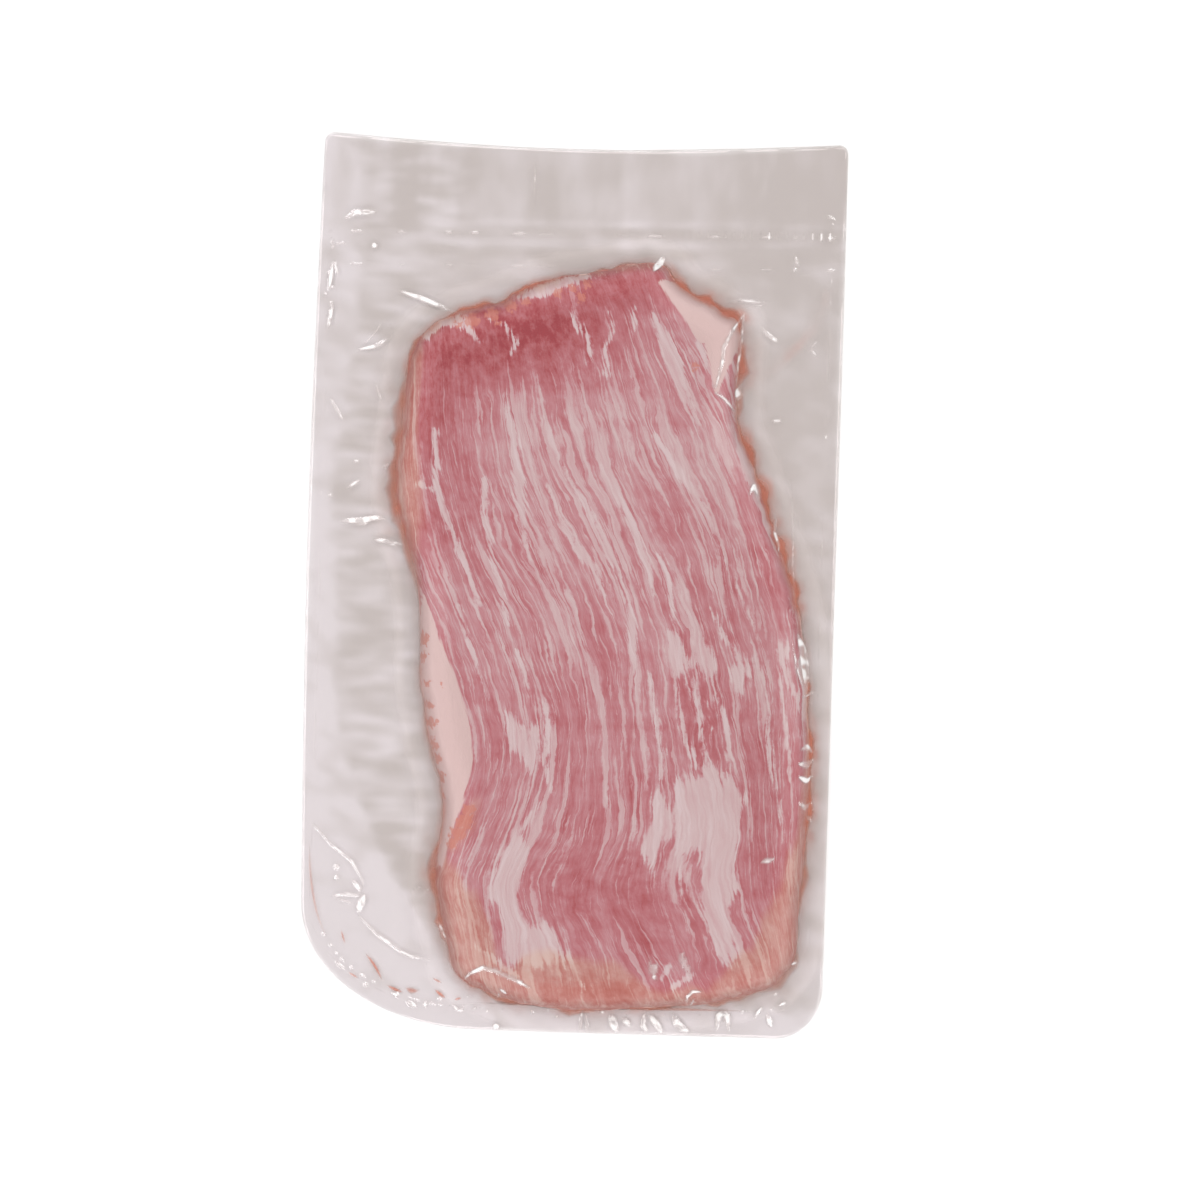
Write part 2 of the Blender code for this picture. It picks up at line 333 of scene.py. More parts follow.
# Where juice has gathered beside the slab: x, y, spread, width, amount.
pools = (
    (34, 104, 6, 2.6, 1), (42, 98, 5, 4.2, 1), (49, 94, 5, 5, 0.9), (53, 78, 6, 5.5, 0.75),
    (54, 66, 6, 4, 0.5), (58, 49, 6, 3.4, 1), (63, 34, 6, 3.4, 1), (69, 17, 7, 3.6, 1),
    (74, 3, 6, 3, 1), (-61, 56, 14, 5.5, 0.4), (-61, 30, 14, 6, 0.45), (-55, 8, 10, 4, 0.35),
    (-56, 80, 6, 2.4, 0.6), (-38, 93, 8, 2, 0.9), (-20, 101, 8, 2, 0.9), (10, 109, 10, 1.6, 0.5),
    (-44, -96, 9, 4.6, 0.65), (-41, -112, 8, 3.6, 0.65), (-20, -137, 9, 3.2, 0.6), (6, -141, 10, 3, 0.5),
    (30, -140, 10, 3, 0.55), (56, -137, 9, 3, 0.5), (80, -30, 8, 2.2, 0.7), (80, -52, 9, 3, 0.9),
    (80, -72, 9, 3, 0.9), (80, -95, 10, 3.6, 0.5), (74, -128, 8, 6, 0.35), (-48, -60, 12, 2.4, 0.3),
)
# Where juice was dragged off to the right margin.
dragPath = ((57, 71), (63, 75.5), (72, 84), (77.5, 90), (82, 102))
# A band of painted shade down to the lower left end of the meat.
paintedShadePath = ((-66, -85), (-56, -93), (-48, -101), (-41, -109))
# Little pinches along the side welds: x, its scatter, lowest and highest y, how many, least and most radius.
pinches = (
    (83.2, 0.3, 96, 128, 6, 0.35, 0.6), (83.2, 0.3, 8, 58, 4, 0.35, 0.6),
    (83.2, 0.3, -80, -20, 5, 0.35, 0.6), (-86.2, 0.7, 84, 118, 18, 0.4, 0.8),
)
# Those along the lower weld: lowest and highest x, y, how many, least and most radius.
lowPinches = (-34, 78, -142.2, 30, 0.4, 0.75)
# Those round the lower left corner: the arc's center and radii, its angles, how many, least and most radius.
arcPinches = (-30, -107, 54.5, 35.5, 198, 262, 22, 0.4, 0.9)


def ellipseArc(center, radii, first, last):
    angles = np.radians(np.linspace(first, last, 30))
    return np.stack((center[0] + radii[0] * np.cos(angles), center[1] + radii[1] * np.sin(angles)), 1)


def bowedSide(start, end, bow):
    # from start to end, pushed to the left of the way by bow at the middle
    t = np.linspace(0, 1, 60)[1:-1, None]
    way = np.array(end, float) - np.array(start, float)
    aside = np.array((-way[1], way[0])) / np.hypot(*way)
    return np.array(start) + way * t + aside * (4 * bow * t * (1 - t))


def pouchSides():
    # the rim as four lines that meet at the middles of the round corners
    left, right, bottom = pouch["left"], pouch["right"], pouch["bottom"]
    small, lowRight, lowLeft = pouch["topCorner"], pouch["lowerRightCorner"], pouch["lowerLeftCorner"]
    corners = {
        "upLeft": ((left + small[0], pouch["topLeft"] - small[1]), small),
        "upRight": ((right - small[0], pouch["topRight"] - small[1]), small),
        "lowRight": ((right - lowRight[0], bottom + lowRight[1]), lowRight),
        "lowLeft": ((left + lowLeft[0], bottom + lowLeft[1]), lowLeft),
    }

    def side(first, firstTurn, last, lastTurn, bow):
        start = ellipseArc(*corners[first], *firstTurn)
        end = ellipseArc(*corners[last], *lastTurn)
        return np.concatenate((start, bowedSide(start[-1], end[0], bow), end))

    return (
        side("lowLeft", (225, 180), "upLeft", (180, 135), pouch["leftBow"]),
        side("lowRight", (-45, 0), "upRight", (0, 45), 0),
        side("lowLeft", (225, 270), "lowRight", (270, 315), 0),
        side("upLeft", (135, 90), "upRight", (90, 45), -pouch["topSag"]),
    )


def alongLine(line, part):
    run = walked(line)
    run = run / run[-1]
    return np.stack((np.interp(part, run, line[:, 0]), np.interp(part, run, line[:, 1])), -1)


def fillPouch(s, t):
    # the point of the pouch at shares s across and t up, spread between its four sides
    leftSide, rightSide, lowSide, highSide = pouchSides()
    across, up = s[:, None], t[:, None]
    sides = (1 - across) * alongLine(leftSide, t) + across * alongLine(rightSide, t)
    ends = (1 - up) * alongLine(lowSide, s) + up * alongLine(highSide, s)
    corners = (1 - up) * ((1 - across) * lowSide[0] + across * lowSide[-1])
    corners = corners + up * ((1 - across) * highSide[0] + across * highSide[-1])
    return sides + ends - corners


def weldGap(x, y):
    # distance inwards from the welds and the seal, less than 0 in them and in the open flap
    gap = np.minimum(x - pouch["weldLeft"], pouch["weldRight"] - x)
    gap = np.minimum(gap, y - pouch["weldBottom"])
    # the welds follow the round lower corners: radii, middle, side and scale of the gap
    wide, high = pouch["lowerLeftCorner"]
    radii = pouch["lowerRightWeld"]
    corners = (
        (pouch["lowerLeftWeld"], (pouch["left"] + wide, pouch["bottom"] + high), -1, high),
        (radii, (pouch["weldRight"] - radii[0], pouch["weldBottom"] + radii[1]), 1, radii[0]),
    )
    for radii, middle, side, scale in corners:
        turn = np.hypot((x - middle[0]) / radii[0], (y - middle[1]) / radii[1])
        inCorner = ((x - middle[0]) * side > 0) & (y < middle[1])
        gap = np.where(inCorner, np.minimum((1 - turn) * scale, gap), gap)
    return np.minimum(gap, pouch["sealLow"] - y)


def ridge(x, y, width, path):
    # a sharp fold with even sides that narrows to its two ends
    corners = np.array(path, float)
    near = (x > corners[:, 0].min() - width) & (x < corners[:, 0].max() + width)
    near &= (y > corners[:, 1].min() - width) & (y < corners[:, 1].max() + width)
    gap, part = pathGap(x[near], y[near], corners)
    narrow = width * np.sin(np.pi * (0.08 + 0.84 * part)) ** 0.6
    result = np.zeros(x.shape)
    result[near] = np.maximum(narrow - gap, 0) * film["foldSlope"]
    return result


def seededDents():
    # the single dents and the little pinches along the welds, the same ones each time
    rng = np.random.default_rng(12)
    spots = list(dents)
    for weldX, scatter, low, high, count, least, most in pinches:
        for _ in range(count):
            spots.append((weldX + rng.normal(0, scatter), rng.uniform(low, high), rng.uniform(least, most)))
    low, high, weldY, count, least, most = lowPinches
    for _ in range(count):
        spots.append((rng.uniform(low, high), weldY - abs(rng.normal(0, 1)), rng.uniform(least, most)))
    middleX, middleY, across, up, low, high, count, least, most = arcPinches
    for _ in range(count):
        angle = math.radians(rng.uniform(low, high))
        spot = (middleX + across * math.cos(angle), middleY + up * math.sin(angle))
        spots.append((*spot, rng.uniform(least, most)))
    return spots


def sharpDetails(x, y, margin=0):
    # height of all folds and dents, each wider by the margin
    height = np.zeros(x.shape)
    for width, path in folds + hangingFolds:
        height = np.maximum(height, ridge(x, y, width + margin, path))
    for dentX, dentY, radius in seededDents():
        gap = np.hypot(x - dentX, y - dentY)
        height = np.maximum(height, film["foldSlope"] * 1.1 * (radius + margin - gap))
    return height


def sealLevel(x, y):
    # height, measured across the seal, which runs a little uphill
    return y - pouch["sealTilt"] * x


def flapRipples(x, y):
    # the open flap past the seal: soft upright ripples
    past = softStep(pouch["sealHigh"] + 1, pouch["sealHigh"] + 9, y)
    return film["ripple"] * past * waves(x, y, 13, 45, 2.2)


def sealTicks(x, y):
    # the seal's pattern of short upright marks along its upper edge, drawn as painted glints, plainer to the
    # right
    plain = 0.16 * softStep(30, 40, x) + 0.84 * softStep(75, 78, x)
    plain = plain + 0.6 * softStep(2.2, 1.2, np.abs(x - 62))
    ticks = np.cos(np.pi * x / 2.95) ** 16 * plain * (x < 84)
    return ticks * softStep(1.6, 0.9, np.abs(sealLevel(x, y) - pouch["sealHigh"] - 0.4))


def sealBand(x, y):
    # the pressed band with a raised line on either side
    level = sealLevel(x, y)
    lines = np.maximum(0, 0.7 - np.abs(level - pouch["sealHigh"]))
    lines = lines + np.maximum(0, 0.6 - np.abs(level - pouch["sealLow"]))
    return film["foldSlope"] * lines * (0.35 + 0.65 * softStep(0.1, 0.6, waves(x, y, 5, 60, 8.2)))


def slackCreases(x, y, outside):
    # slack film beside the meat: soft pillows across the left margin and a few sharp creases
    stripEnd = throughPoints(stripY, stripX, y)
    left = softStep(-1, 4, x - stripEnd) * softStep(-40, -46, x)
    bend = y + 2.4 * np.sin(x / 6.5) + 5 * waves(x, y, 14, 18, 4.4)
    pillows = 0.16 * np.sin(2 * np.pi * bend / 7.5) * left * softStep(14, 4, y)
    crease = 1 - np.abs(waves(x + 1.5 * y, y, 13, 9, 9.9))
    often = softStep(0.1, 0.7, waves(x, y, 11, 11, 3.7))
    upper = softStep(6, 22, y) * softStep(pouch["sealLow"] + 2, pouch["sealLow"] - 6, y)
    return softStep(0, 3, outside) * (pillows + 0.3 * crease**10 * often * upper)


def filmHeights(x, y, inside):
    # heights of the upper and the lower film, and what the materials need
    outside = np.maximum(0, -inside)
    weld = weldGap(x, y)
    reach = film["reach"] * (0.75 + 0.5 * waves(x, y, 17, 17, 3.1))
    reach = np.minimum(np.maximum(reach, 3), film["fallShare"] * (outside + np.maximum(weld, 0)) + 0.01)
    away = np.clip(1 - outside / reach, 0, 1)
    slack = softStep(0, 26, outside)
    tableGap = film["lift"] + film["edgeLift"] * slack * (0.5 + 0.5 * np.sin(x / 17 + y / 29))
    under = np.where(inside > 0, 0, tableGap * (1 - away**2))
    under = 0.05 + under * softStep(-1, 6, outside + 1)
    apart = film["weldGap"] + (film["gap"] - film["weldGap"]) * softStep(0, 2.5, weld)
    flap = softStep(pouch["sealHigh"], pouch["sealHigh"] + 6, y)
    rimGap = np.minimum(x - pouch["left"] + 1.6, pouch["right"] - x)
    flat = under + apart + 0.35 * flap * softStep(0.2, 5, rimGap)
    rimGap = softStep(0, 1.2, np.minimum(rimGap, y - pouch["bottom"]))
    sharp = sharpDetails(x, y) * rimGap
    band = sealBand(x, y)
    soft = slackCreases(x, y, outside) + band * softStep(-0.5, 1.5, outside) * rimGap
    weldLine = 0.6 * film["foldSlope"] * np.maximum(0, 0.5 - np.abs(weld)) * (y < pouch["sealLow"])
    over = slabTop(x, y, inside) + film["overMeat"]
    # over the shoulder the film puckers
    shoulder = softStep(9, 2, inside) * softStep(-7, 0, inside)
    pucker = 0.16 * waves(x, y, 1.6, 1.6, 5.2) + 0.2 * waves(x, y, 4, 4, 1.2)
    fallTop = flat + away**3.4 * (slab["waist"] + film["overMeat"] - flat)
    top = np.where(inside > 0, over, fallTop) + np.maximum(pucker, -0.1) * shoulder
    ripples = flapRipples(x, y)
    top = top + sharp + soft + weldLine + ripples
    under = under + ripples * (outside > 0.5)
    satin = softStep(13, 7, inside) * softStep(-11, -7, inside) * softStep(0.12, 0.03, sharp)
    broken = 0.45 + 0.55 * softStep(-0.25, 0.35, waves(x, y, 2.6, 2.6, 6.4))
    # painted glints: white painted on the sharp folds, broken into dashes, on the seal's raised lines
    # outside the meat and along the welds
    white = softStep(0.02, 0.3, sharp) * broken + 0.5 * softStep(0.3, 0.9, band / 0.3) * (outside > 0)
    white = white + softStep(0.02, 0.2, weldLine) * 0.3 * softStep(0, 0.6, waves(x, y, 7, 7, 1.3))
    white = np.clip(white + sealTicks(x, y), 0, 1)
    return np.maximum(top, under + 0.12), np.maximum(under, 0.05), satin, white


def gather(share, amount):
    # moves evenly spaced shares together at the two ends
    return share - amount * np.sin(2 * math.pi * share) / (2 * math.pi)


def filmGrid(columns, rows, name):
    bpy.ops.mesh.primitive_grid_add(x_subdivisions=columns, y_subdivisions=rows, size=1)
    sheet = bpy.context.active_object
    sheet.name = name
    shares = readSpots(sheet.data.vertices) + 0.5
    spots = fillPouch(gather(shares[:, 0], 0.3), gather(shares[:, 1], 0.1))
    writePoints(sheet, np.column_stack((spots, np.zeros(len(spots)))))
    return sheet


def faceSpots(piece):
    return (readSpots(piece.data.polygons, "center") / mm - place).T[:2]


def splitFaces(piece, wanted):
    # halves the wanted faces both ways
    editMode("DESELECT")
    objectMode()
    piece.data.polygons.foreach_set("select", wanted)
    bpy.ops.object.mode_set(mode="EDIT")
    bpy.ops.mesh.subdivide(number_cuts=1)
    objectMode()


def filmPaintedShade(x, y, outside):
    # painted shadow: how much the film dims what is under it, standing in for the pouch's shadow on the
    # table, from 0 in the light strip to 1
    stripEnd = throughPoints(stripY, stripX, y)
    inner = softStep(-1.5, 3, x - stripEnd)
    # painted shadow, darker inside the strip, toward the lower right and over the seal, lighter along the
    # lower weld
    tone = 0.1 + 0.5 * inner
    tone = tone + 0.3 * softStep(20, 70, x) * softStep(-120, -60, y)
    tone = tone + 0.1 * softStep(pouch["sealLow"], pouch["sealHigh"], y) * inner
    tone = tone + 0.2 * (1 - inner) * (softStep(20, 60, y) - softStep(-60, -100, y))
    tone = tone - 0.55 * softStep(-138, -143, y)
    # painted shade in clouds: the shading of the pillows, level in the left margin, and of the ripples,
    # upright in the flap
    left = inner * softStep(-30, -50, x)
    flap = softStep(pouch["sealHigh"], pouch["sealHigh"] + 5, y)
    cloudy = 0.14 * waves(x, y, 26, 9, 4.9) + 0.6 * waves(x, y, 11, 2.8, 2.8) * left
    cloudy = cloudy + 0.3 * waves(x, y, 7, 60, 1.8) * flap + 0.2 * waves(x, y, 2.4, 9, 6.8) * flap
    cloudy = cloudy + 0.4 * waves(x + 0.7 * y, y, 8, 6, 5.8) * (1 - left) * (1 - flap)
    # the pressed band: two painted highlight lines, and painted shade along its low side
    level = sealLevel(x, y)
    lit = softStep(1.8, 0.4, np.abs(level - 124.1)) + softStep(2.2, 0.5, np.abs(level - 117.4))
    lit = lit * (0.7 + 0.5 * waves(x, y, 12, 40, 3.3))
    dim = softStep(3, 1, np.abs(level - 114.2)) * softStep(-60, -40, x)
    dim = dim + 0.5 * softStep(2, 1, np.abs(level - 121))
    tone = tone + (0.28 * dim - 0.42 * lit) * softStep(-78, -70, x)
    # painted shade along that band
    shadeGap, _ = pathGap(x, y, paintedShadePath)
    tone = tone + 0.4 * softStep(8, 1, shadeGap) + cloudy * softStep(0, 2, outside)
    return np.clip(tone, -0.3, 1.3)


def smears(x, y, inside):
    # the haze of juice that the film has picked up beside the meat
    outside = np.maximum(0, -inside)
    amount = softStep(film["smearWidth"], 0, outside) + softStep(2, 0, outside)
    amount = film["leastSmear"] * amount * (0.3 + 0.9 * softStep(-0.5, 0.6, waves(x, y, 14, 14, 3.3)))
    for poolX, poolY, extent, wide, much in pools:
        near = np.exp(-0.25 * ((x - poolX) ** 2 + (y - poolY) ** 2) / extent**2)
        amount = np.maximum(amount, 0.8 * much * near * softStep(2.2 * wide, 0.2 * wide, outside))
    gap, _ = pathGap(x, y, dragPath)
    drag = softStep(4, 0, gap) * (0.15 + 0.3 * np.exp(-((x - 72) ** 2 + (y - 84) ** 2) / 30))
    # more of it along the browned left side
    soaked = softStep(-50, -57, x) * softStep(-4, 16, y) * softStep(96, 76, y)
    amount = np.maximum(np.maximum(amount, drag), 0.6 * soaked * softStep(5, 0, outside))
    amount = amount * (0.85 + 0.35 * waves(x, y, 4, 4, 7.7))
    return np.clip(amount, 0, 1) * softStep(3, 0, inside)


def layFilm(sheet, line, isUpper):
    # gives a flat layer its heights, and stores what its material needs
    x, y, _ = readPoints(sheet).T
    inside = insideGap(x, y, line)
    outside = np.maximum(0, -inside)
    top, under, satin, white = filmHeights(x, y, inside)
    writePoints(sheet, np.stack((x, y, top if isUpper else under), 1))
    # milky film, partly painted light lifting the shade beside the slab
    milky = softStep(film["milkyWidth"], 0, outside) * softStep(2, -1, inside)
    storeFields(sheet, tone=filmPaintedShade(x, y, outside), satin=satin)
    storeFields(sheet, white=white * isUpper, milky=milky * isUpper, smear=smears(x, y, inside) * isUpper)


def makeFilm(line):
    deselectAll()
    upper = filmGrid(film["columns"], film["rows"], "pouchFilm")
    x, y = faceSpots(upper)
    splitFaces(upper, insideGap(x, y, line) < slab["shoulder"])
    # finer still at the welds, the seal and the sharp folds
    x, y = faceSpots(upper)
    level = sealLevel(x, y)
    fine = (np.abs(weldGap(x, y)) < 0.8) | (np.abs(level - pouch["sealLow"]) < 1.2)
    fine |= (np.abs(level - pouch["sealHigh"] - 0.4) < 2.4) & (x > -80)
    splitFaces(upper, fine | (sharpDetails(x, y, margin=0.8) > 0))
    layFilm(upper, line, True)
    deselectAll()
    lower = filmGrid(film["lowColumns"], film["lowRows"], "lowerFilm")
    layFilm(lower, line, False)
    editMode("SELECT")
    bpy.ops.mesh.flip_normals()
    objectMode()
    joinPieces((upper, lower))
    editMode("DESELECT", "EDGE")
    bpy.ops.mesh.select_non_manifold()
    bpy.ops.mesh.bridge_edge_loops()
    smoothOutside()
    return upper


# Lines that the fibres of the meat follow: x at some heights y, five lines from left to right.
grainY = (-118, -100, -80, -55, -17, 15, 45, 75)
grainX = (
    (-38, -43, -38, -33, -45, -57, -60, -60),
    (-15, -18, -11, -6, -15, -31, -41, -44),
    (28, 20, 23, 22, 16, 5, -11, -17),
    (67, 61, 60, 55, 46, 36, 22, 12),
    (82, 80, 78, 79, 76, 67, 56, 42),
)
grainStep = 30       # fibre millimetres between two lines

# Outlines of the solid fat patches.
fatPatches = (
    # the big one and its wing
    ((36, -63), (37, -59.5), (39.5, -61), (42, -62), (44, -60.5), (45, -55), (46, -55), (48, -57),
     (50, -58.5), (51.5, -61), (53, -60.5), (54, -55.5), (55, -60.5), (57, -64.5), (59.5, -68),
     (58.5, -73.5), (58, -78), (57, -84.5), (56.5, -90.5), (57.5, -98), (56.5, -102), (54.5, -103.5),
     (55, -108.5), (56.5, -114), (59, -119.5), (59.5, -122), (56.5, -123.5), (53.5, -123), (51.5, -119.5),
     (48.5, -114.5), (46.5, -108.5), (45, -102), (44.5, -86.5), (41.5, -86), (38.5, -87), (36, -85),
     (35.5, -71), (35.5, -66.5)),
    ((31, -62.5), (31, -66), (32.5, -69), (34.5, -71.5), (36, -71.5), (36, -81.5), (34, -82.5), (32, -84),
     (30.5, -87), (30, -90), (31, -99), (30, -97.5), (28.5, -91.5), (26, -89.5), (25, -86.5), (26.5, -81),
     (28, -77), (28, -73), (27, -69.5), (28.5, -69), (29.5, -68.5)),
    # the forked one above it
    ((31.5, -13), (33, -11.5), (35.5, -13), (37, -17), (38.5, -21), (40.5, -21.5), (41.5, -19.5),
     (40, -15.5), (42, -15), (44, -15.5), (46.5, -18), (48.5, -21), (48, -25), (47.5, -27.5), (49, -32.5),
     (47, -30.5), (45, -27.5), (43, -25), (39.5, -25), (38.5, -24), (39, -28), (42, -36), (39.5, -32.5),
     (37.5, -27.5), (36.5, -26), (36, -30.5), (34.5, -31), (33, -25.5), (32, -19.5)),
    # three small ones beside it
    ((52.5, -25.5), (54, -22.5), (55.5, -21.5), (58, -22), (60, -21.5), (61, -23), (60, -24.5),
     (59, -27.5), (57.5, -28.5), (57, -32), (56.5, -35.5), (55.5, -32), (54, -29)),
    ((62, -23), (63.5, -22.5), (65, -24.5), (65.5, -32), (66.5, -42), (65, -35), (64, -30), (62.5, -27)),
    ((67.5, -17), (69, -16), (71, -16.5), (72, -18), (71.5, -23), (72.5, -28), (74, -31), (71.5, -29),
     (69, -22)),
    # the boot at the lower left
    ((-15, -79), (-15, -83.5), (-12.5, -88), (-13.5, -92), (-15, -98.5), (-15.5, -104), (-15.5, -107),
     (-14, -110.5), (-11.5, -112), (-6, -112), (-3, -114.5), (-1.5, -118), (0.5, -121.5), (3, -123.5),
     (2, -125), (-4.5, -125), (-8, -126.5), (-10.5, -125.5), (-14.5, -126.5), (-17.5, -126), (-19, -121),
     (-19.5, -117.5), (-21, -114), (-21.5, -111), (-22, -105.5), (-25.5, -103.5), (-26, -101), (-24, -94),
     (-21.5, -87), (-17, -82)),
    # the one over the boot
    ((-21.5, -42.5), (-20, -41.5), (-18.5, -42.5), (-17, -44.5), (-16, -47), (-14, -48), (-12.5, -45),
     (-11, -43.5), (-10, -46.5), (-10, -51), (-10.5, -55), (-11, -59.5), (-11.5, -62.5), (-13, -63),
     (-14, -60.5), (-15, -58), (-17, -56.5), (-18.5, -54.5), (-20, -54), (-21.5, -51)),
)

# Thick fat streaks: strokes of (x, y, radius).
fatStrokes = (
    ((38, -87, 1), (39, -104, 0.6)),
    ((-29, -120.5, 0.4), (-24, -123.5, 0.8), (-19.5, -127, 1), (-14, -130.5, 0.5)),
    ((-9.5, -71.5, 0.4), (-12, -75.5, 0.8), (-15, -80.5, 0.8)),
    ((-9, -37.5, 0.6), (-7.5, -47.5, 0.6), (-8.5, -58, 0.8), (-5.5, -68, 0.6)),
    ((38.5, -6, 0.5), (40.5, -12.5, 1), (43, -15.5, 1.2)),
    ((65, -31.5, 0.6), (66, -42, 0.8), (67, -55.5, 0.8), (70.5, -69, 0.8), (72.5, -82.5, 0.4)),
    ((47.5, -28, 0.6), (49.5, -36, 0.8), (52, -45, 0.8), (54, -57.5, 0.9)),
    ((34, -29, 0.6), (36.5, -39.5, 0.8), (38.5, -48.5, 0.9), (43, -58, 0.7)),
    ((41, -26.5, 0.5), (42.5, -38.5, 0.7), (44, -48.5, 0.8), (46, -58, 0.9)),
    ((70.5, -19, 0.5), (72, -26, 1), (76, -34.5, 1.1), (78, -41, 0.8)),
    ((69.5, -27, 0.5), (71, -38, 0.5), (73, -50, 0.5), (74, -62, 0.3)),
    ((26, -27, 0.4), (27, -37, 0.6), (29.5, -45, 0.7), (31, -52.5, 0.7), (31, -62, 0.8)),
    ((-3.5, 95.5, 0.3), (-2.5, 89.5, 1), (2, 84.5, 0.8), (2.5, 76.5, 0.9)),
    ((8.5, 93.5, 0.4), (10, 87, 0.6), (7.5, 80.5, 0.6), (9, 72.5, 0.8)), ((17, 95, 0.6), (17.5, 88.5, 0.7)),
    ((38.5, 86, 0.8), (42, 76, 0.7)), ((45, -36, 0.2), (48, -47.5, 0.2)),
    ((36.5, -132.5, 0.8), (43, -128, 1.2)), ((33, -129.5, 0.4), (35.5, -125, 0.8)),
    ((7, -131, 0.4), (8, -133.5, 0.7)), ((76, -21.5, 0.6), (78.5, -35, 1.1), (79.5, -46.5, 0.7)),
    ((-26, 65, 0.2), (-22.5, 53.5, 1.4), (-20, 36.5, 2), (-18.5, 23, 1.6), (-15, 9.5, 0.2)),
    ((2.5, 30.5, 0.2), (7, 20.5, 1.4), (12, 12, 2.2), (15.5, 5.5, 0.6)),
    ((23, 94, 0.6), (27, 85.5, 2.2), (31, 77, 2.8), (34, 67, 1.8), (40.5, 57, 0.5)),
    ((53.5, 56, 0.6), (55, 47.5, 2), (58, 40, 2.6), (60.5, 32.5, 0.8)),
    ((-10.5, 35, 0.4), (-5, 22.5, 1.2), (1.5, 13.5, 1.6), (7.5, 6, 1.5), (9.5, -1.5, 0.6)),
    ((-12.5, 57, 0.9), (-8, 47, 0.9), (-1, 34, 0.8), (5, 25, 0.8)),
    ((8, 42, 0.4), (15, 30.5, 1.1), (20.5, 18, 1.2), (25, 7.5, 1), (26.5, -1, 0.3)),
    ((25, 53, 0.6), (32.5, 42.5, 1), (41.5, 30.5, 1.3), (47, 20, 0.8), (51.5, 8.5, 0.5)),
    ((54, 3, 0.3), (59.5, -8.5, 0.8), (63, -16.5, 0.4)), ((28, 13, 0.5), (32, 3.5, 0.7), (33, -9, 0.3)),
    ((45.5, -4.5, 0.4), (51.5, -15, 1), (57, -23.5, 1.2)),
    ((14.5, 5, 0.5), (19.5, -9.5, 1.3), (20.5, -22, 1.2), (22, -36, 0.6)),
    ((-31, 36, 1), (-31.5, 26.5, 1.1), (-26.5, 5, 0.8), (-22, -12, 0.6)),
    ((-18.5, -21, 0.5), (-15.5, -28.5, 1), (-12.5, -38, 0.5)),
    ((-39, -6.5, 0.6), (-34, -20.5, 0.9), (-29.5, -35, 0.4)),
    ((-48, 52, 0.8), (-47.6, 34, 1.1), (-45, 26, 1.2), (-37, 8, 1), (-32, -6, 0.8)),
    ((-54, 34, 0.5), (-48, 32, 1)),
    ((-52.5, 84, 1.6), (-48, 89, 2.2), (-41, 89, 2), (-37, 85, 1.2), (-34, 82, 0.7)),
    ((-20, 98.5, 2), (-12, 101, 2.6), (0, 105.5, 1.6)),
    ((-32, 90, 0.5), (-26, 88, 0.7), (-22, 82, 0.8), (-24, 78, 0.3)),
)

# Smooth fat caps at the edge, without streaks.
capStrokes = (
    ((26, 104, 1.2), (31, 101, 3.8), (37.5, 97, 6.2), (43.5, 91.5, 8.2), (47, 85.5, 6.8), (46, 76, 3),
     (45.5, 67.5, 0.6)),
    ((-51, -3.5, 0.6), (-48.5, -18.5, 4), (-45, -32, 6.4), (-42, -45.5, 8.2), (-40.5, -58, 8.6),
     (-40.5, -70.5, 5.8), (-41.5, -82.5, 3), (-42, -93.5, 1)),
)

# Browned edges, soaked with juice.
brownStrokes = (
    ((-57, 78, 3), (-60, 58, 6), (-60, 36, 7.5), (-57, 14, 4.8), (-54, -2, 2.2)),
    ((-44, -88, 3), (-42, -104, 11), (-37, -118, 14), (-31, -130, 11)),
    ((-22, -135, 8), (-4, -132, 11), (14, -134, 9.5), (28, -138, 5.5), (50, -138, 6), (66, -130, 12.5)),
    ((81, -60, 2.5), (81, -80, 5), (79, -104, 10), (74, -122, 12)),
    ((-31, -72, 1.2), (-33.5, -79, 3.2), (-38.5, -87, 3)),
    ((-56, 83, 1.2), (-44, 91, 1.8), (-24, 99, 1.8), (0, 107, 1.6), (12, 110, 2.2), (25, 111.5, 3)),
    ((30, 107, 1.2), (44, 97.5, 2), (53, 90, 2.2)), ((66, 22, 1.6), (74, 4, 2.2), (78, -16, 1)),
)

# Dark lean and light, fatty zones: x, y, radius across, radius along, strength.
leanZones = (
    (-20, 82, 34, 17, 1), (-16, 88, 14, 6, 0.8), (-48, 62, 9, 22, 0.6), (12, 102, 18, 9, 0.8),
    (-38, 22, 9, 16, 0.4), (-49, 20, 5, 12, 0.45), (30, 20, 10, 22, 0.3), (5, -100, 18, 14, 0.45),
    (28, -104, 9, 18, 0.45), (44, -40, 8, 14, 0.3), (66, -60, 8, 26, 0.35), (-34, -52, 8, 22, 0.2),
    (20, -60, 46, 60, 0.1), (20, -45, 24, 2, 0.25), (5, -107.6, 9, 1.6, 0.35), (66, -96, 9, 14, 0.35),
    (-44, 78, 14, 7, 0.4), (13, -134, 21, 5, 0.65), (60, -128, 10, 5, 0.4),
)
fattyZones = (
    (22, 48, 20, 26, 0.8), (44, 44, 12, 16, 0.8), (-14, 34, 16, 30, 0.7), (10, 6, 12, 20, 0.5),
    (36, 84, 8, 10, 0.6), (30, 4, 12, 20, 0.3), (70, -38, 10, 26, 0.45), (26, -30, 8, 26, 0.35),
    (0, 62, 22, 12, 0.35), (-26, -30, 10, 30, 0.4), (-46, 0, 8, 14, 0.3),
)
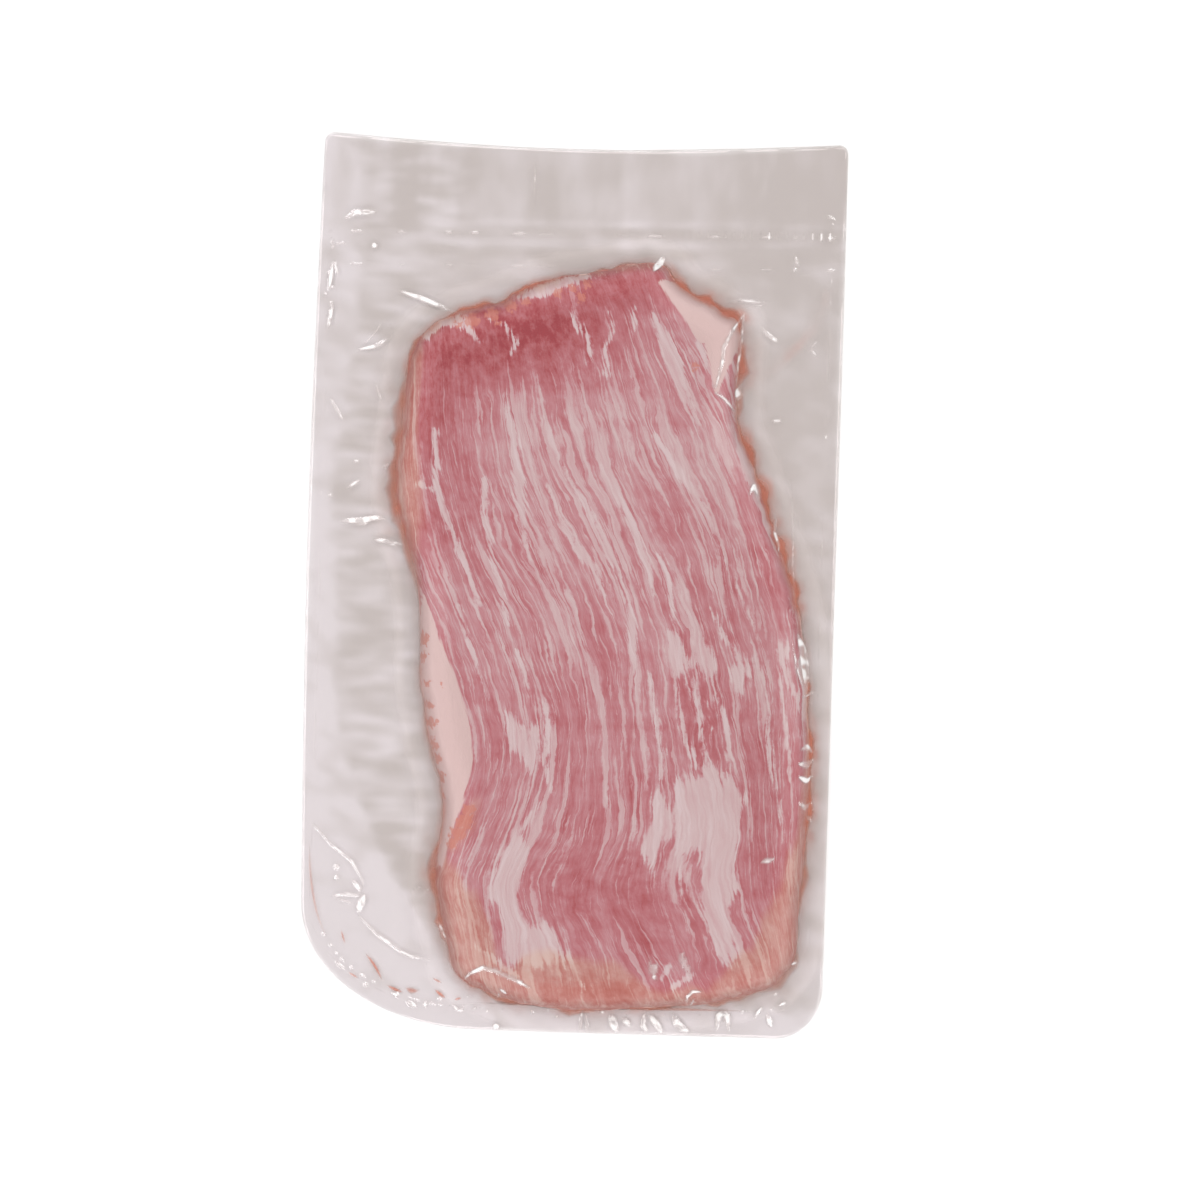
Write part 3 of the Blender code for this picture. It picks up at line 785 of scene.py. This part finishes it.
# Small red clots: x, y, radius.
clots = (
    (-50.6, -18, 2.4), (-50.4, -24, 1.6), (-48.6, -33, 1.2), (-47.6, -40, 1.6), (-46.6, -46, 2),
    (-45.6, -53, 1.8), (-44.2, -58, 1.8), (-43.4, -64, 2.2), (-42.6, -70, 1.4), (37.6, 76, 1.5),
    (-33, -74.5, 2.2), (-34.5, -78.5, 3), (-36.5, -82.5, 2.8), (-38.5, -86, 1.8), (-42, 87.5, 1.4),
    (-37, 89, 2.6), (-30.5, 92, 2.4), (-24.5, 94.5, 2.2), (-19.5, 96, 1.6), (-44, -33, 0.6), (-9, 99, 1.8),
    (-4, 101, 1.6), (1, 102.5, 1.5), (-1, 98, 1.4), (-29, 89, 1.2),
)


def strokeField(x, y, strokes):
    # depth inside the fattest stroke near, in millimetres, less than 0 outside
    field = np.full(x.shape, -9.0)
    for stroke in strokes:
        points = np.array(stroke, float)
        gap, part = pathGap(x, y, points[:, :2])
        run = walked(points[:, :2])
        field = np.maximum(field, np.interp(part, run / run[-1], points[:, 2]) - gap)
    return field


def patchField(x, y, outlines):
    # depth inside the nearest outlined patch, less than 0 outside
    field = np.full(x.shape, -9.0)
    for outline in outlines:
        line = np.array(outline, float)
        low, high = line.min(axis=0) - 8, line.max(axis=0) + 8
        near = (x > low[0]) & (x < high[0]) & (y > low[1]) & (y < high[1])
        # flattened, so that the noise draws long fingers along the grain only
        depth = insideGap(x[near], 0.35 * y[near], line * (1, 0.35))
        field[near] = np.maximum(field[near], depth)
    return field


def zoneField(x, y, zones):
    field = np.zeros(x.shape)
    for middleX, middleY, across, along, strength in zones:
        reach = ((x - middleX) / across) ** 2 + ((y - middleY) / along) ** 2
        field = field + strength * np.exp(-reach)
    return field


def grainAcross(x, y):
    # fibre millimetres across the grain
    lines = [throughPoints(grainY, row, y) for row in grainX]
    result = np.zeros(x.shape)
    for number, (left, right) in enumerate(zip(lines, lines[1:])):
        here = (number + (x - left) / (right - left)) * grainStep
        result = np.where((x >= left) | (number == 0), here, result)
    return result


def makeSlab(line):
    deselectAll()
    bpy.ops.mesh.primitive_circle_add(vertices=len(line), radius=1, fill_type="NGON")
    meat = bpy.context.active_object
    meat.name = "porkJowl"
    writePoints(meat, np.column_stack((line[::-1], np.zeros(len(line)))))
    editMode("SELECT")
    bpy.ops.mesh.extrude_region_move(TRANSFORM_OT_translate={"value": (0, 0, slab["crown"] * mm)})
    smoothOutside()
    applyModifier(meat, "REMESH", "even", mode="VOXEL", voxel_size=slab["voxel"] * mm)
    points = readPoints(meat)
    x, y, z = points.T
    inside = np.maximum(insideGap(x, y, line), 0)
    share = np.clip(z / slab["crown"], 0, 1)
    # the square side becomes round: the edge draws in above and below the waist
    foot = 0.3 + (slab["waist"] - 0.3) * (1 - np.clip(inside / 5, 0, 1)) ** 2.4
    points[:, 2] = foot + share * (slabTop(x, y, inside) - foot)
    writePoints(meat, points)
    applyModifier(meat, "SMOOTH", "soften", factor=0.5, iterations=2)
    points = readPoints(meat)
    x, y, z = points.T
    inside = insideGap(x, y, line)
    points[:, 2] = np.minimum(z, slabTop(x, y, np.maximum(inside, 0)))
    writePoints(meat, points)
    storeFields(
        meat,
        fatPatch=np.maximum(strokeField(x, y, fatStrokes), patchField(x, y, fatPatches)),
        cap=strokeField(x, y, capStrokes),
        brown=strokeField(x, y, brownStrokes),
        clot=strokeField(x, y, [((cx, cy, r), (cx, cy - 0.1, r)) for cx, cy, r in clots]),
        leanness=zoneField(x, y, leanZones),
        fattiness=zoneField(x, y, fattyZones),
        edge=np.clip(inside, -1, 12),
    )
    grain = meat.data.uv_layers.new(name="grain")
    corners = np.empty(len(meat.data.loops), np.int32)
    meat.data.loops.foreach_get("vertex_index", corners)
    spots = np.stack((grainAcross(x, y), y), 1) / 100
    grain.data.foreach_set("uv", spots[corners].astype(np.float32).ravel())
    bpy.ops.object.shade_smooth()
    return meat


# The juice between the two film layers.
juice = {
    "inward": 0.8,         # how far the juice reaches under the film over the slab's edge
    "least": 1.2,          # width of the line of juice all round the slab
    "leastAmount": 0.25,
    "fill": 0.42,          # share of the space between the films, up and down from the middle
    "rings": 12,
}
# Drops and threads that have run away from the slab: amount, then (x, y, half width) along the way.
threads = (
    (0.5, ((-75.7, -117.4, 0.3), (-74.8, -120, 0.4), (-74, -122.5, 0.3))),
    (0.7, ((-67.6, -124.8, 0.4), (-64.7, -128.1, 0.6), (-60.8, -134.7, 0.5))),
    (0.7, ((-59.8, -135.7, 0.4), (-56.5, -137.2, 0.7), (-53.6, -138.2, 0.4))),
    (0.4, ((-53.5, -136.4, 0.6), (-51, -137.4, 1.2), (-48.3, -137.3, 0.6))),
    (0.8, ((-43.5, -136.6, 0.4), (-41.3, -138.3, 0.7), (-39.3, -139.8, 0.4))),
    (0.5, ((-44.4, -132.8, 0.3), (-40.7, -134.6, 0.5))), (0.6, ((-36.6, -140.1, 0.4), (-34, -139.3, 0.5))),
    (0.5, ((-73, -131.6, 0.3), (-69.1, -133.8, 0.5))),
    (0.25, ((-87.4, -86, 0.3), (-86.4, -100, 0.5), (-83.6, -113, 0.5), (-79.5, -122, 0.3))),
    (0.5, ((-32, -140.8, 0.4), (-8, -141, 0.7), (30, -141, 0.7), (70, -140.7, 0.4))),
)


def liftJuice(piece, x, y, height, line):
    # between the films: height runs from -1 at the lower one to 1 at the upper one
    top, under, _, _ = filmHeights(x, y, insideGap(x, y, line))
    share = 0.5 + juice["fill"] * height
    writePoints(piece, np.stack((x, y, under + share * (top - under)), 1))


def juiceRim(line):
    # a ring laid round the slab, wide where juice has gathered
    bpy.ops.mesh.primitive_torus_add(
        major_segments=len(line), minor_segments=juice["rings"], major_radius=2, minor_radius=1
    )
    rim = bpy.context.active_object
    spots = readSpots(rim.data.vertices)
    turn = np.arctan2(spots[:, 1], spots[:, 0]) % (2 * np.pi)
    step = np.rint(turn / (2 * np.pi) * len(line)).astype(int) % len(line)
    across = np.hypot(spots[:, 0], spots[:, 1]) - 2
    line = line[::-1]
    way = sum(np.roll(line, -shift, axis=0) - np.roll(line, shift, axis=0) for shift in (1, 2, 3))
    outward = np.stack((way[:, 1], -way[:, 0]), 1) / np.hypot(*way.T)[:, None]
    width = np.full(len(line), juice["least"])
    amount = np.full(len(line), juice["leastAmount"])
    for poolX, poolY, extent, wide, much in pools:
        near = np.exp(-((line[:, 0] - poolX) ** 2 + (line[:, 1] - poolY) ** 2) / extent**2)
        width = np.maximum(width, wide * near)
        amount = np.maximum(amount, much * near**0.5)
    width = width * (0.8 + 0.4 * waves(line[:, 0], line[:, 1], 4, 4, 2.9))
    reach = -juice["inward"] + (across + 1) / 2 * (width[step] + juice["inward"])
    x, y = (line[step] + outward[step] * reach[:, None]).T
    liftJuice(rim, x, y, spots[:, 2], line)
    storeFields(rim, amount=amount[step] * softStep(1, 0, across))
    return rim


def juiceThread(much, path, line):
    # a ball drawn out along the path
    bpy.ops.mesh.primitive_uv_sphere_add(segments=10, ring_count=16, radius=1)
    drop = bpy.context.active_object
    spots = readSpots(drop.data.vertices)
    route = np.array(path, float)
    run = walked(route[:, :2])
    along = (spots[:, 2] + 1) / 2 * run[-1]

    def spotsAt(where):
        return np.array((throughPoints(run, route[:, 0], where), throughPoints(run, route[:, 1], where)))

    middle = spotsAt(along)
    way = spotsAt(along + 0.1) - middle
    way = way / np.hypot(*way)
    wide = np.interp(along, run, route[:, 2]) * spots[:, 0]
    liftJuice(drop, middle[0] - way[1] * wide, middle[1] + way[0] * wide, spots[:, 1], line)
    storeFields(drop, amount=much * softStep(1, 0.2, np.hypot(spots[:, 0], spots[:, 2])))
    return drop


def makeJuice(line):
    deselectAll()
    rim = joinPieces([juiceRim(line)] + [juiceThread(much, path, line) for much, path in threads])
    rim.name = "meatJuice"
    smoothOutside()
    return rim


def newMaterial(name):
    material = bpy.data.materials.new(name)
    material.use_nodes = True
    material.node_tree.nodes.clear()
    return material, material.node_tree


def feed(socket, value):
    # links another node's output to the socket, or sets its value
    if isinstance(value, bpy.types.NodeSocket):
        socket.id_data.links.new(value, socket)
    else:
        socket.default_value = value


def addNode(tree, kind, inputs=None, **settings):
    node = tree.nodes.new("ShaderNode" + kind)
    for name, value in settings.items():
        setattr(node, name, value)
    for name, value in (inputs or {}).items():
        feed(node.inputs[name], value)
    return node


def mathOf(operation, first, second):
    tree = (first if isinstance(first, bpy.types.NodeSocket) else second).id_data
    return addNode(tree, "Math", {0: first, 1: second}, operation=operation).outputs[0]


def plus(first, second):
    return mathOf("ADD", first, second)


def minus(first, second):
    return mathOf("SUBTRACT", first, second)


def times(first, second):
    return mathOf("MULTIPLY", first, second)


def larger(first, second):
    return mathOf("MAXIMUM", first, second)


def softRange(value, low, high):
    inputs = {"Value": value, "From Min": low, "From Max": high}
    return addNode(value.id_data, "MapRange", inputs, interpolation_type="SMOOTHSTEP").outputs["Result"]


def mixColours(factor, first, second):
    return addNode(factor.id_data, "Mix", {0: factor, 6: first, 7: second}, data_type="RGBA").outputs[2]


def mixNumbers(factor, first, second):
    return addNode(factor.id_data, "Mix", {0: factor, 2: first, 3: second}, data_type="FLOAT").outputs[0]


def mixShaders(factor, first, second):
    inputs = {0: factor, 1: first.outputs[0], 2: second.outputs[0]}
    return addNode(first.id_data, "MixShader", inputs)


def noiseOf(coords, size, detail=2, roughness=0.5, offset=(0, 0, 0)):
    # noise from 0 to 1, with humps of the given size
    tree = coords.id_data
    scale = [1 / length for length in size]
    spot = addNode(tree, "Mapping", {"Scale": scale, "Location": offset, "Vector": coords}).outputs[0]
    inputs = {"Scale": 1, "Detail": detail, "Roughness": roughness, "Vector": spot}
    return addNode(tree, "TexNoise", inputs).outputs["Fac"]


def fieldOf(tree, name):
    return addNode(tree, "Attribute", attribute_name=name).outputs["Fac"]


def rampOf(value, stops):
    node = addNode(value.id_data, "ValToRGB", {0: value})
    ramp = node.color_ramp
    while len(ramp.elements) < len(stops):
        ramp.elements.new(0.5)
    for element, (position, colour) in zip(ramp.elements, stops):
        element.position = position
        element.color = (*colour, 1)
    return node.outputs[0]


def bumpOf(height, strength, distance):
    inputs = {"Height": height, "Strength": strength, "Distance": distance * mm}
    return addNode(height.id_data, "Bump", inputs).outputs["Normal"]


def finish(material, shader):
    addNode(material.node_tree, "OutputMaterial", {"Surface": shader.outputs[0]})
    return material


filmLook = {
    "lightTint": (0.946, 0.924, 0.928, 1),
    "shadowTint": (0.876, 0.850, 0.841, 1),
    "shine": 0.075,
    "gloss": 0.06,
    "satinGloss": 0.5,
    "satinLoss": 0.7,
    "bump": 0.2,
    "rimShine": 0.12,
    "glintCover": 0.85,
    "white": (0.93, 0.92, 0.91, 1),
    "hazy": (0.57, 0.48, 0.46, 1),
    "juicy": (0.62, 0.23, 0.16, 1),
    "milkLightLevel": 0.35,
    "smearCover": 0.65,
}


def filmMaterial():
    material, tree = newMaterial("clearFilm")
    # the painted shadow darkens the film's tint
    tint = mixColours(fieldOf(tree, "tone"), filmLook["lightTint"], filmLook["shadowTint"])
    clear = addNode(tree, "BsdfTransparent", {"Color": tint})
    satin = fieldOf(tree, "satin")
    spot = addNode(tree, "TexCoord").outputs["Object"]
    gloss = addNode(tree, "BsdfGlossy", {
        "Color": (1, 1, 1, 1),
        "Roughness": mixNumbers(satin, filmLook["gloss"], filmLook["satinGloss"]),
        "Normal": bumpOf(noiseOf(spot, (0.006, 0.007, 0.006), 1.5), 0.5, filmLook["bump"]),
    })
    facing = addNode(tree, "LayerWeight").outputs["Facing"]
    shine = plus(times(mathOf("POWER", facing, 5), filmLook["rimShine"]), filmLook["shine"])
    shine = times(shine, minus(1, times(satin, filmLook["satinLoss"])))
    # painted glints: white painted on the sharp folds, the welds and the seal; juice smeared on the film
    # clouds it, and the milky white beside the meat is partly painted light lifting the shade there
    smear = fieldOf(tree, "smear")
    white = fieldOf(tree, "white")
    cloud = mixColours(softRange(smear, 0, 0.6), filmLook["hazy"], filmLook["juicy"])
    glintSmearLayer = addNode(tree, "BsdfDiffuse", {"Color": mixColours(white, cloud, filmLook["white"])})
    milky = times(fieldOf(tree, "milky"), filmLook["milkLightLevel"])
    cloudy = larger(milky, times(smear, filmLook["smearCover"]))
    cover = larger(times(white, filmLook["glintCover"]), cloudy)
    return finish(material, mixShaders(cover, mixShaders(shine, clear, gloss), glintSmearLayer))


juiceLook = {
    "thinTint": (1, 1, 1, 1),
    "fullTint": (0.99, 0.85, 0.79, 1),
    "cloudy": (0.70, 0.28, 0.20, 1),
    "cloudiness": 0.68,
    "shine": 0.03,
    "gloss": 0.15,
}


def juiceMaterial():
    material, tree = newMaterial("meatJuice")
    amount = fieldOf(tree, "amount")
    tint = mixColours(amount, juiceLook["thinTint"], juiceLook["fullTint"])
    clear = addNode(tree, "BsdfTransparent", {"Color": tint})
    gloss = addNode(tree, "BsdfGlossy", {"Roughness": juiceLook["gloss"]})
    # thick juice is cloudy
    dull = addNode(tree, "BsdfDiffuse", {"Color": juiceLook["cloudy"]})
    cloudy = times(amount, juiceLook["cloudiness"])
    return finish(material, mixShaders(cloudy, mixShaders(juiceLook["shine"], clear, gloss), dull))


# Grain of the meat: size across, along and through in mm, detail, strength, and a shift.
marbling = (
    ((1.5, 30, 6), 1.5, 0.5, (0, 0, 0)),
    ((0.7, 12, 4), 1.5, 0.42, (7, 3, 0)),
    ((0.3, 4, 2), 2, 0.32, (1, 9, 0)),
    ((7, 34, 12), 2, 0.6, (4, 4, 0)),
    ((24, 6, 12), 1, 0.3, (2, 5, 0)),
)
# Clean fat streaks: size across, along and through, the noise above which they start, how full, a shift,
# and how strongly they keep to the fatty zones.
streaks = (
    ((3, 60, 9), 0.575, 0.9, (9, 6, 0), 0.5),
    ((1.2, 34, 5), 0.57, 0.8, (3, 1, 0), 0.4),
    ((0.6, 14, 3), 0.585, 0.55, (5, 2, 0), 0.3),
)
# Bends of the fibres: size across, along and through, and how far they sway.
sways = (((16, 34, 12), 7), ((5, 11, 8), 2.2), ((2.2, 5, 5), 1.4), ((0.9, 2.2, 3), 0.6))
meatLook = {
    # from the darkest lean to clean fat
    "raw": (
        (0, (0.335, 0.050, 0.062)), (0.157, (0.396, 0.094, 0.106)), (0.348, (0.457, 0.159, 0.180)),
        (0.565, (0.515, 0.255, 0.278)), (0.765, (0.560, 0.364, 0.377)), (0.904, (0.599, 0.454, 0.462)),
        (1, (0.640, 0.521, 0.531)),
    ),
    "browned": (
        (0, (0.38, 0.10, 0.075)), (0.3, (0.47, 0.185, 0.15)), (0.5, (0.525, 0.275, 0.235)),
        (0.7, (0.577, 0.353, 0.298)), (1, (0.64, 0.47, 0.415)),
    ),
    "capFat": (0.63, 0.472, 0.457, 1),
    "clotRed": (0.55, 0.20, 0.15, 1),
    "middle": 0.46,        # how fatty the plain meat is, from 0 to 1
    "leanStep": 0.28,
    "fattyStep": 0.14,
    "rimStep": 0.06,
    "mottle": (3.4, 4.4, 3),
    "mottled": 0.25,
    "lostMottle": 0.75,
    "grainLoss": 0.6,
    "ragged": 0.12,
    "crisp": 0.06,         # how wide the side of a clean streak is, less is crisper
    "fingers": 3,          # how far the solid patches reach out along the grain
    "patchMottle": 2.5,
    "brownSpots": 9,       # how blotchy the browned edges are
    "brownCover": 0.85,
    "clotCover": 0.7,
    "bump": 0.15,
    "gloss": 0.5,
    "shine": 0.2,
}


def grainCoords(tree):
    # millimetres across the fibres, along them and up, straight and with the fibres swaying a little
    fibre = addNode(tree, "SeparateXYZ", {0: addNode(tree, "UVMap", uv_map="grain").outputs["UV"]}).outputs
    spot = addNode(tree, "SeparateXYZ", {0: addNode(tree, "TexCoord").outputs["Object"]}).outputs
    across, along, up = times(fibre[0], 100), times(fibre[1], 100), times(spot[2], 1000)
    straight = addNode(tree, "CombineXYZ", {0: across, 1: along, 2: up}).outputs[0]
    for size, amount in sways:
        across = plus(across, times(minus(noiseOf(straight, size), 0.5), amount))
    return straight, addNode(tree, "CombineXYZ", {0: across, 1: along, 2: up}).outputs[0]


def meatMaterial():
    material, tree = newMaterial("rawJowl")
    plain, coords = grainCoords(tree)
    layers = [minus(noiseOf(coords, size, detail, 0.5, shift), 0.5) for size, detail, _, shift in marbling]
    mottle = minus(noiseOf(plain, meatLook["mottle"], 4, 0.7), 0.5)
    brown = softRange(plus(fieldOf(tree, "brown"), times(layers[3], meatLook["brownSpots"])), -2, 2.6)
    # the grain is lost in the lean end and in the soaked edges
    leanness = fieldOf(tree, "leanness")
    lost = larger(times(brown, 0.5), leanness)
    grained = minus(1, times(lost, meatLook["grainLoss"]))
    # fattiness of each spot, from lean to fat
    fatness = meatLook["middle"]
    for layer, (_, _, strength, _) in zip(layers, marbling):
        fatness = plus(times(times(layer, strength), grained), fatness)
    fatness = plus(times(mottle, plus(times(lost, meatLook["lostMottle"]), meatLook["mottled"])), fatness)
    lean = times(leanness, meatLook["leanStep"])
    fatty = times(fieldOf(tree, "fattiness"), meatLook["fattyStep"])
    edge = fieldOf(tree, "edge")
    fatness = plus(minus(fatness, lean), fatty)
    fatness = minus(fatness, times(softRange(edge, 2.5, 0), meatLook["rimStep"]))
    # clean streaks with crisp sides, more of them where the meat is fatty
    zone = minus(fatty, lean)
    clean = plus(times(layers[1], 0.4), 0.86)
    for size, start, full, shift, keep in streaks:
        amount = plus(noiseOf(coords, size, offset=shift), times(zone, keep))
        amount = plus(amount, times(mottle, meatLook["ragged"]))
        streak = times(times(softRange(amount, start, start + meatLook["crisp"]), full), grained)
        fatness = mixNumbers(streak, fatness, clean)
    # solid patches with fingers along the grain
    rough = plus(times(layers[0], meatLook["fingers"]), times(layers[1], meatLook["fingers"]))
    rough = plus(rough, times(mottle, meatLook["patchMottle"]))
    patch = softRange(plus(fieldOf(tree, "fatPatch"), rough), -0.5, 0.6)
    solid = plus(plus(times(layers[1], 0.3), 0.895), times(layers[0], 0.4))
    fatness = mixNumbers(patch, fatness, solid)
    cap = softRange(plus(fieldOf(tree, "cap"), times(layers[1], 2)), -0.3, 0.5)
    colour = mixColours(cap, rampOf(fatness, meatLook["raw"]), meatLook["capFat"])
    # edges soaked with juice
    brown = times(larger(brown, softRange(edge, 1.6, -0.2)), minus(1, times(cap, 0.8)))
    colour = mixColours(times(brown, meatLook["brownCover"]), colour, rampOf(fatness, meatLook["browned"]))
    gritty = times(minus(noiseOf(plain, (1.6, 1.6, 1.6), 2, 0.6), 0.5), 6)
    clot = softRange(plus(fieldOf(tree, "clot"), gritty), -0.2, 0.6)
    return finish(material, addNode(tree, "BsdfPrincipled", {
        "Base Color": mixColours(times(clot, meatLook["clotCover"]), colour, meatLook["clotRed"]),
        "Normal": bumpOf(plus(fatness, times(layers[2], 1.5)), 0.5, meatLook["bump"]),
        "Roughness": meatLook["gloss"],
        "Specular IOR Level": meatLook["shine"],
    }))


stage = {
    "floorSize": 14,
    "floorColour": (0.80, 0.80, 0.80, 1),
    "worldColour": (1, 1, 1, 1),
    "worldStrength": 0.29,
    "cameraHeight": 0.961,
    "lookAt": (8.6, -3.1),
    "turn": 1.8,
    "lens": 85,
    "sensor": 36,
}
# Soft boxes in a ring round the table: how many, how far out, height, size, watts.
softBoxes = {"count": 8, "out": 1, "height": 0.97, "wide": 0.6, "high": 0.45, "watts": 4.08}


def makeStage():
    deselectAll()
    bpy.ops.mesh.primitive_plane_add(size=stage["floorSize"])
    floor = bpy.context.active_object
    floor.name = "studioFloor"
    material, tree = newMaterial("paleFloor")
    inputs = {"Base Color": stage["floorColour"], "Roughness": 0.9, "Specular IOR Level": 0}
    floor.data.materials.append(finish(material, addNode(tree, "BsdfPrincipled", inputs)))
    world = bpy.data.worlds.new("studioWorld")
    world.use_nodes = True
    background = world.node_tree.nodes["Background"]
    feed(background.inputs["Color"], stage["worldColour"])
    feed(background.inputs["Strength"], stage["worldStrength"])
    scene.world = world
    out = softBoxes["out"]
    for number in range(softBoxes["count"]):
        way = 2 * math.pi * number / softBoxes["count"]
        spot = Vector((out * math.cos(way), out * math.sin(way), softBoxes["height"]))
        bpy.ops.object.light_add(type="AREA", location=spot)
        lamp = bpy.context.active_object
        lamp.name = f"softBox{number + 1}"
        lamp.rotation_euler = spot.to_track_quat("Z", "Y").to_euler()
        lamp.data.shape = "RECTANGLE"
        lamp.data.size = softBoxes["wide"]
        lamp.data.size_y = softBoxes["high"]
        lamp.data.energy = softBoxes["watts"]
        lamp.visible_camera = False


def makeCamera():
    lookX, lookY = stage["lookAt"]
    spot = ((lookX + place[0]) * mm, (lookY + place[1]) * mm, stage["cameraHeight"])
    turn = math.radians(stage["turn"])
    bpy.ops.object.camera_add(location=spot, rotation=(0, 0, turn))
    camera = bpy.context.active_object
    camera.data.lens = stage["lens"]
    camera.data.sensor_width = stage["sensor"]
    camera.data.clip_start = 0.01
    scene.camera = camera
    scene.view_settings.view_transform = "Standard"


meatLine = slabLine()
meat = makeSlab(meatLine)
meat.data.materials.append(meatMaterial())
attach(meat, "root")
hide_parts("vacuum_pack")
print("meat:", len(meat.data.polygons), "faces")

pouchFilm = makeFilm(meatLine)
pouchFilm.data.materials.append(filmMaterial())
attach(pouchFilm, "root")
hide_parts("vacuum_pack")
print("film:", len(pouchFilm.data.polygons), "faces")

meatJuice = makeJuice(meatLine)
meatJuice.data.materials.append(juiceMaterial())
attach(meatJuice, "root")
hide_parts("vacuum_pack")
print("juice:", len(meatJuice.data.polygons), "faces")

makeStage()
makeCamera()
print("stage, lights and camera: done")
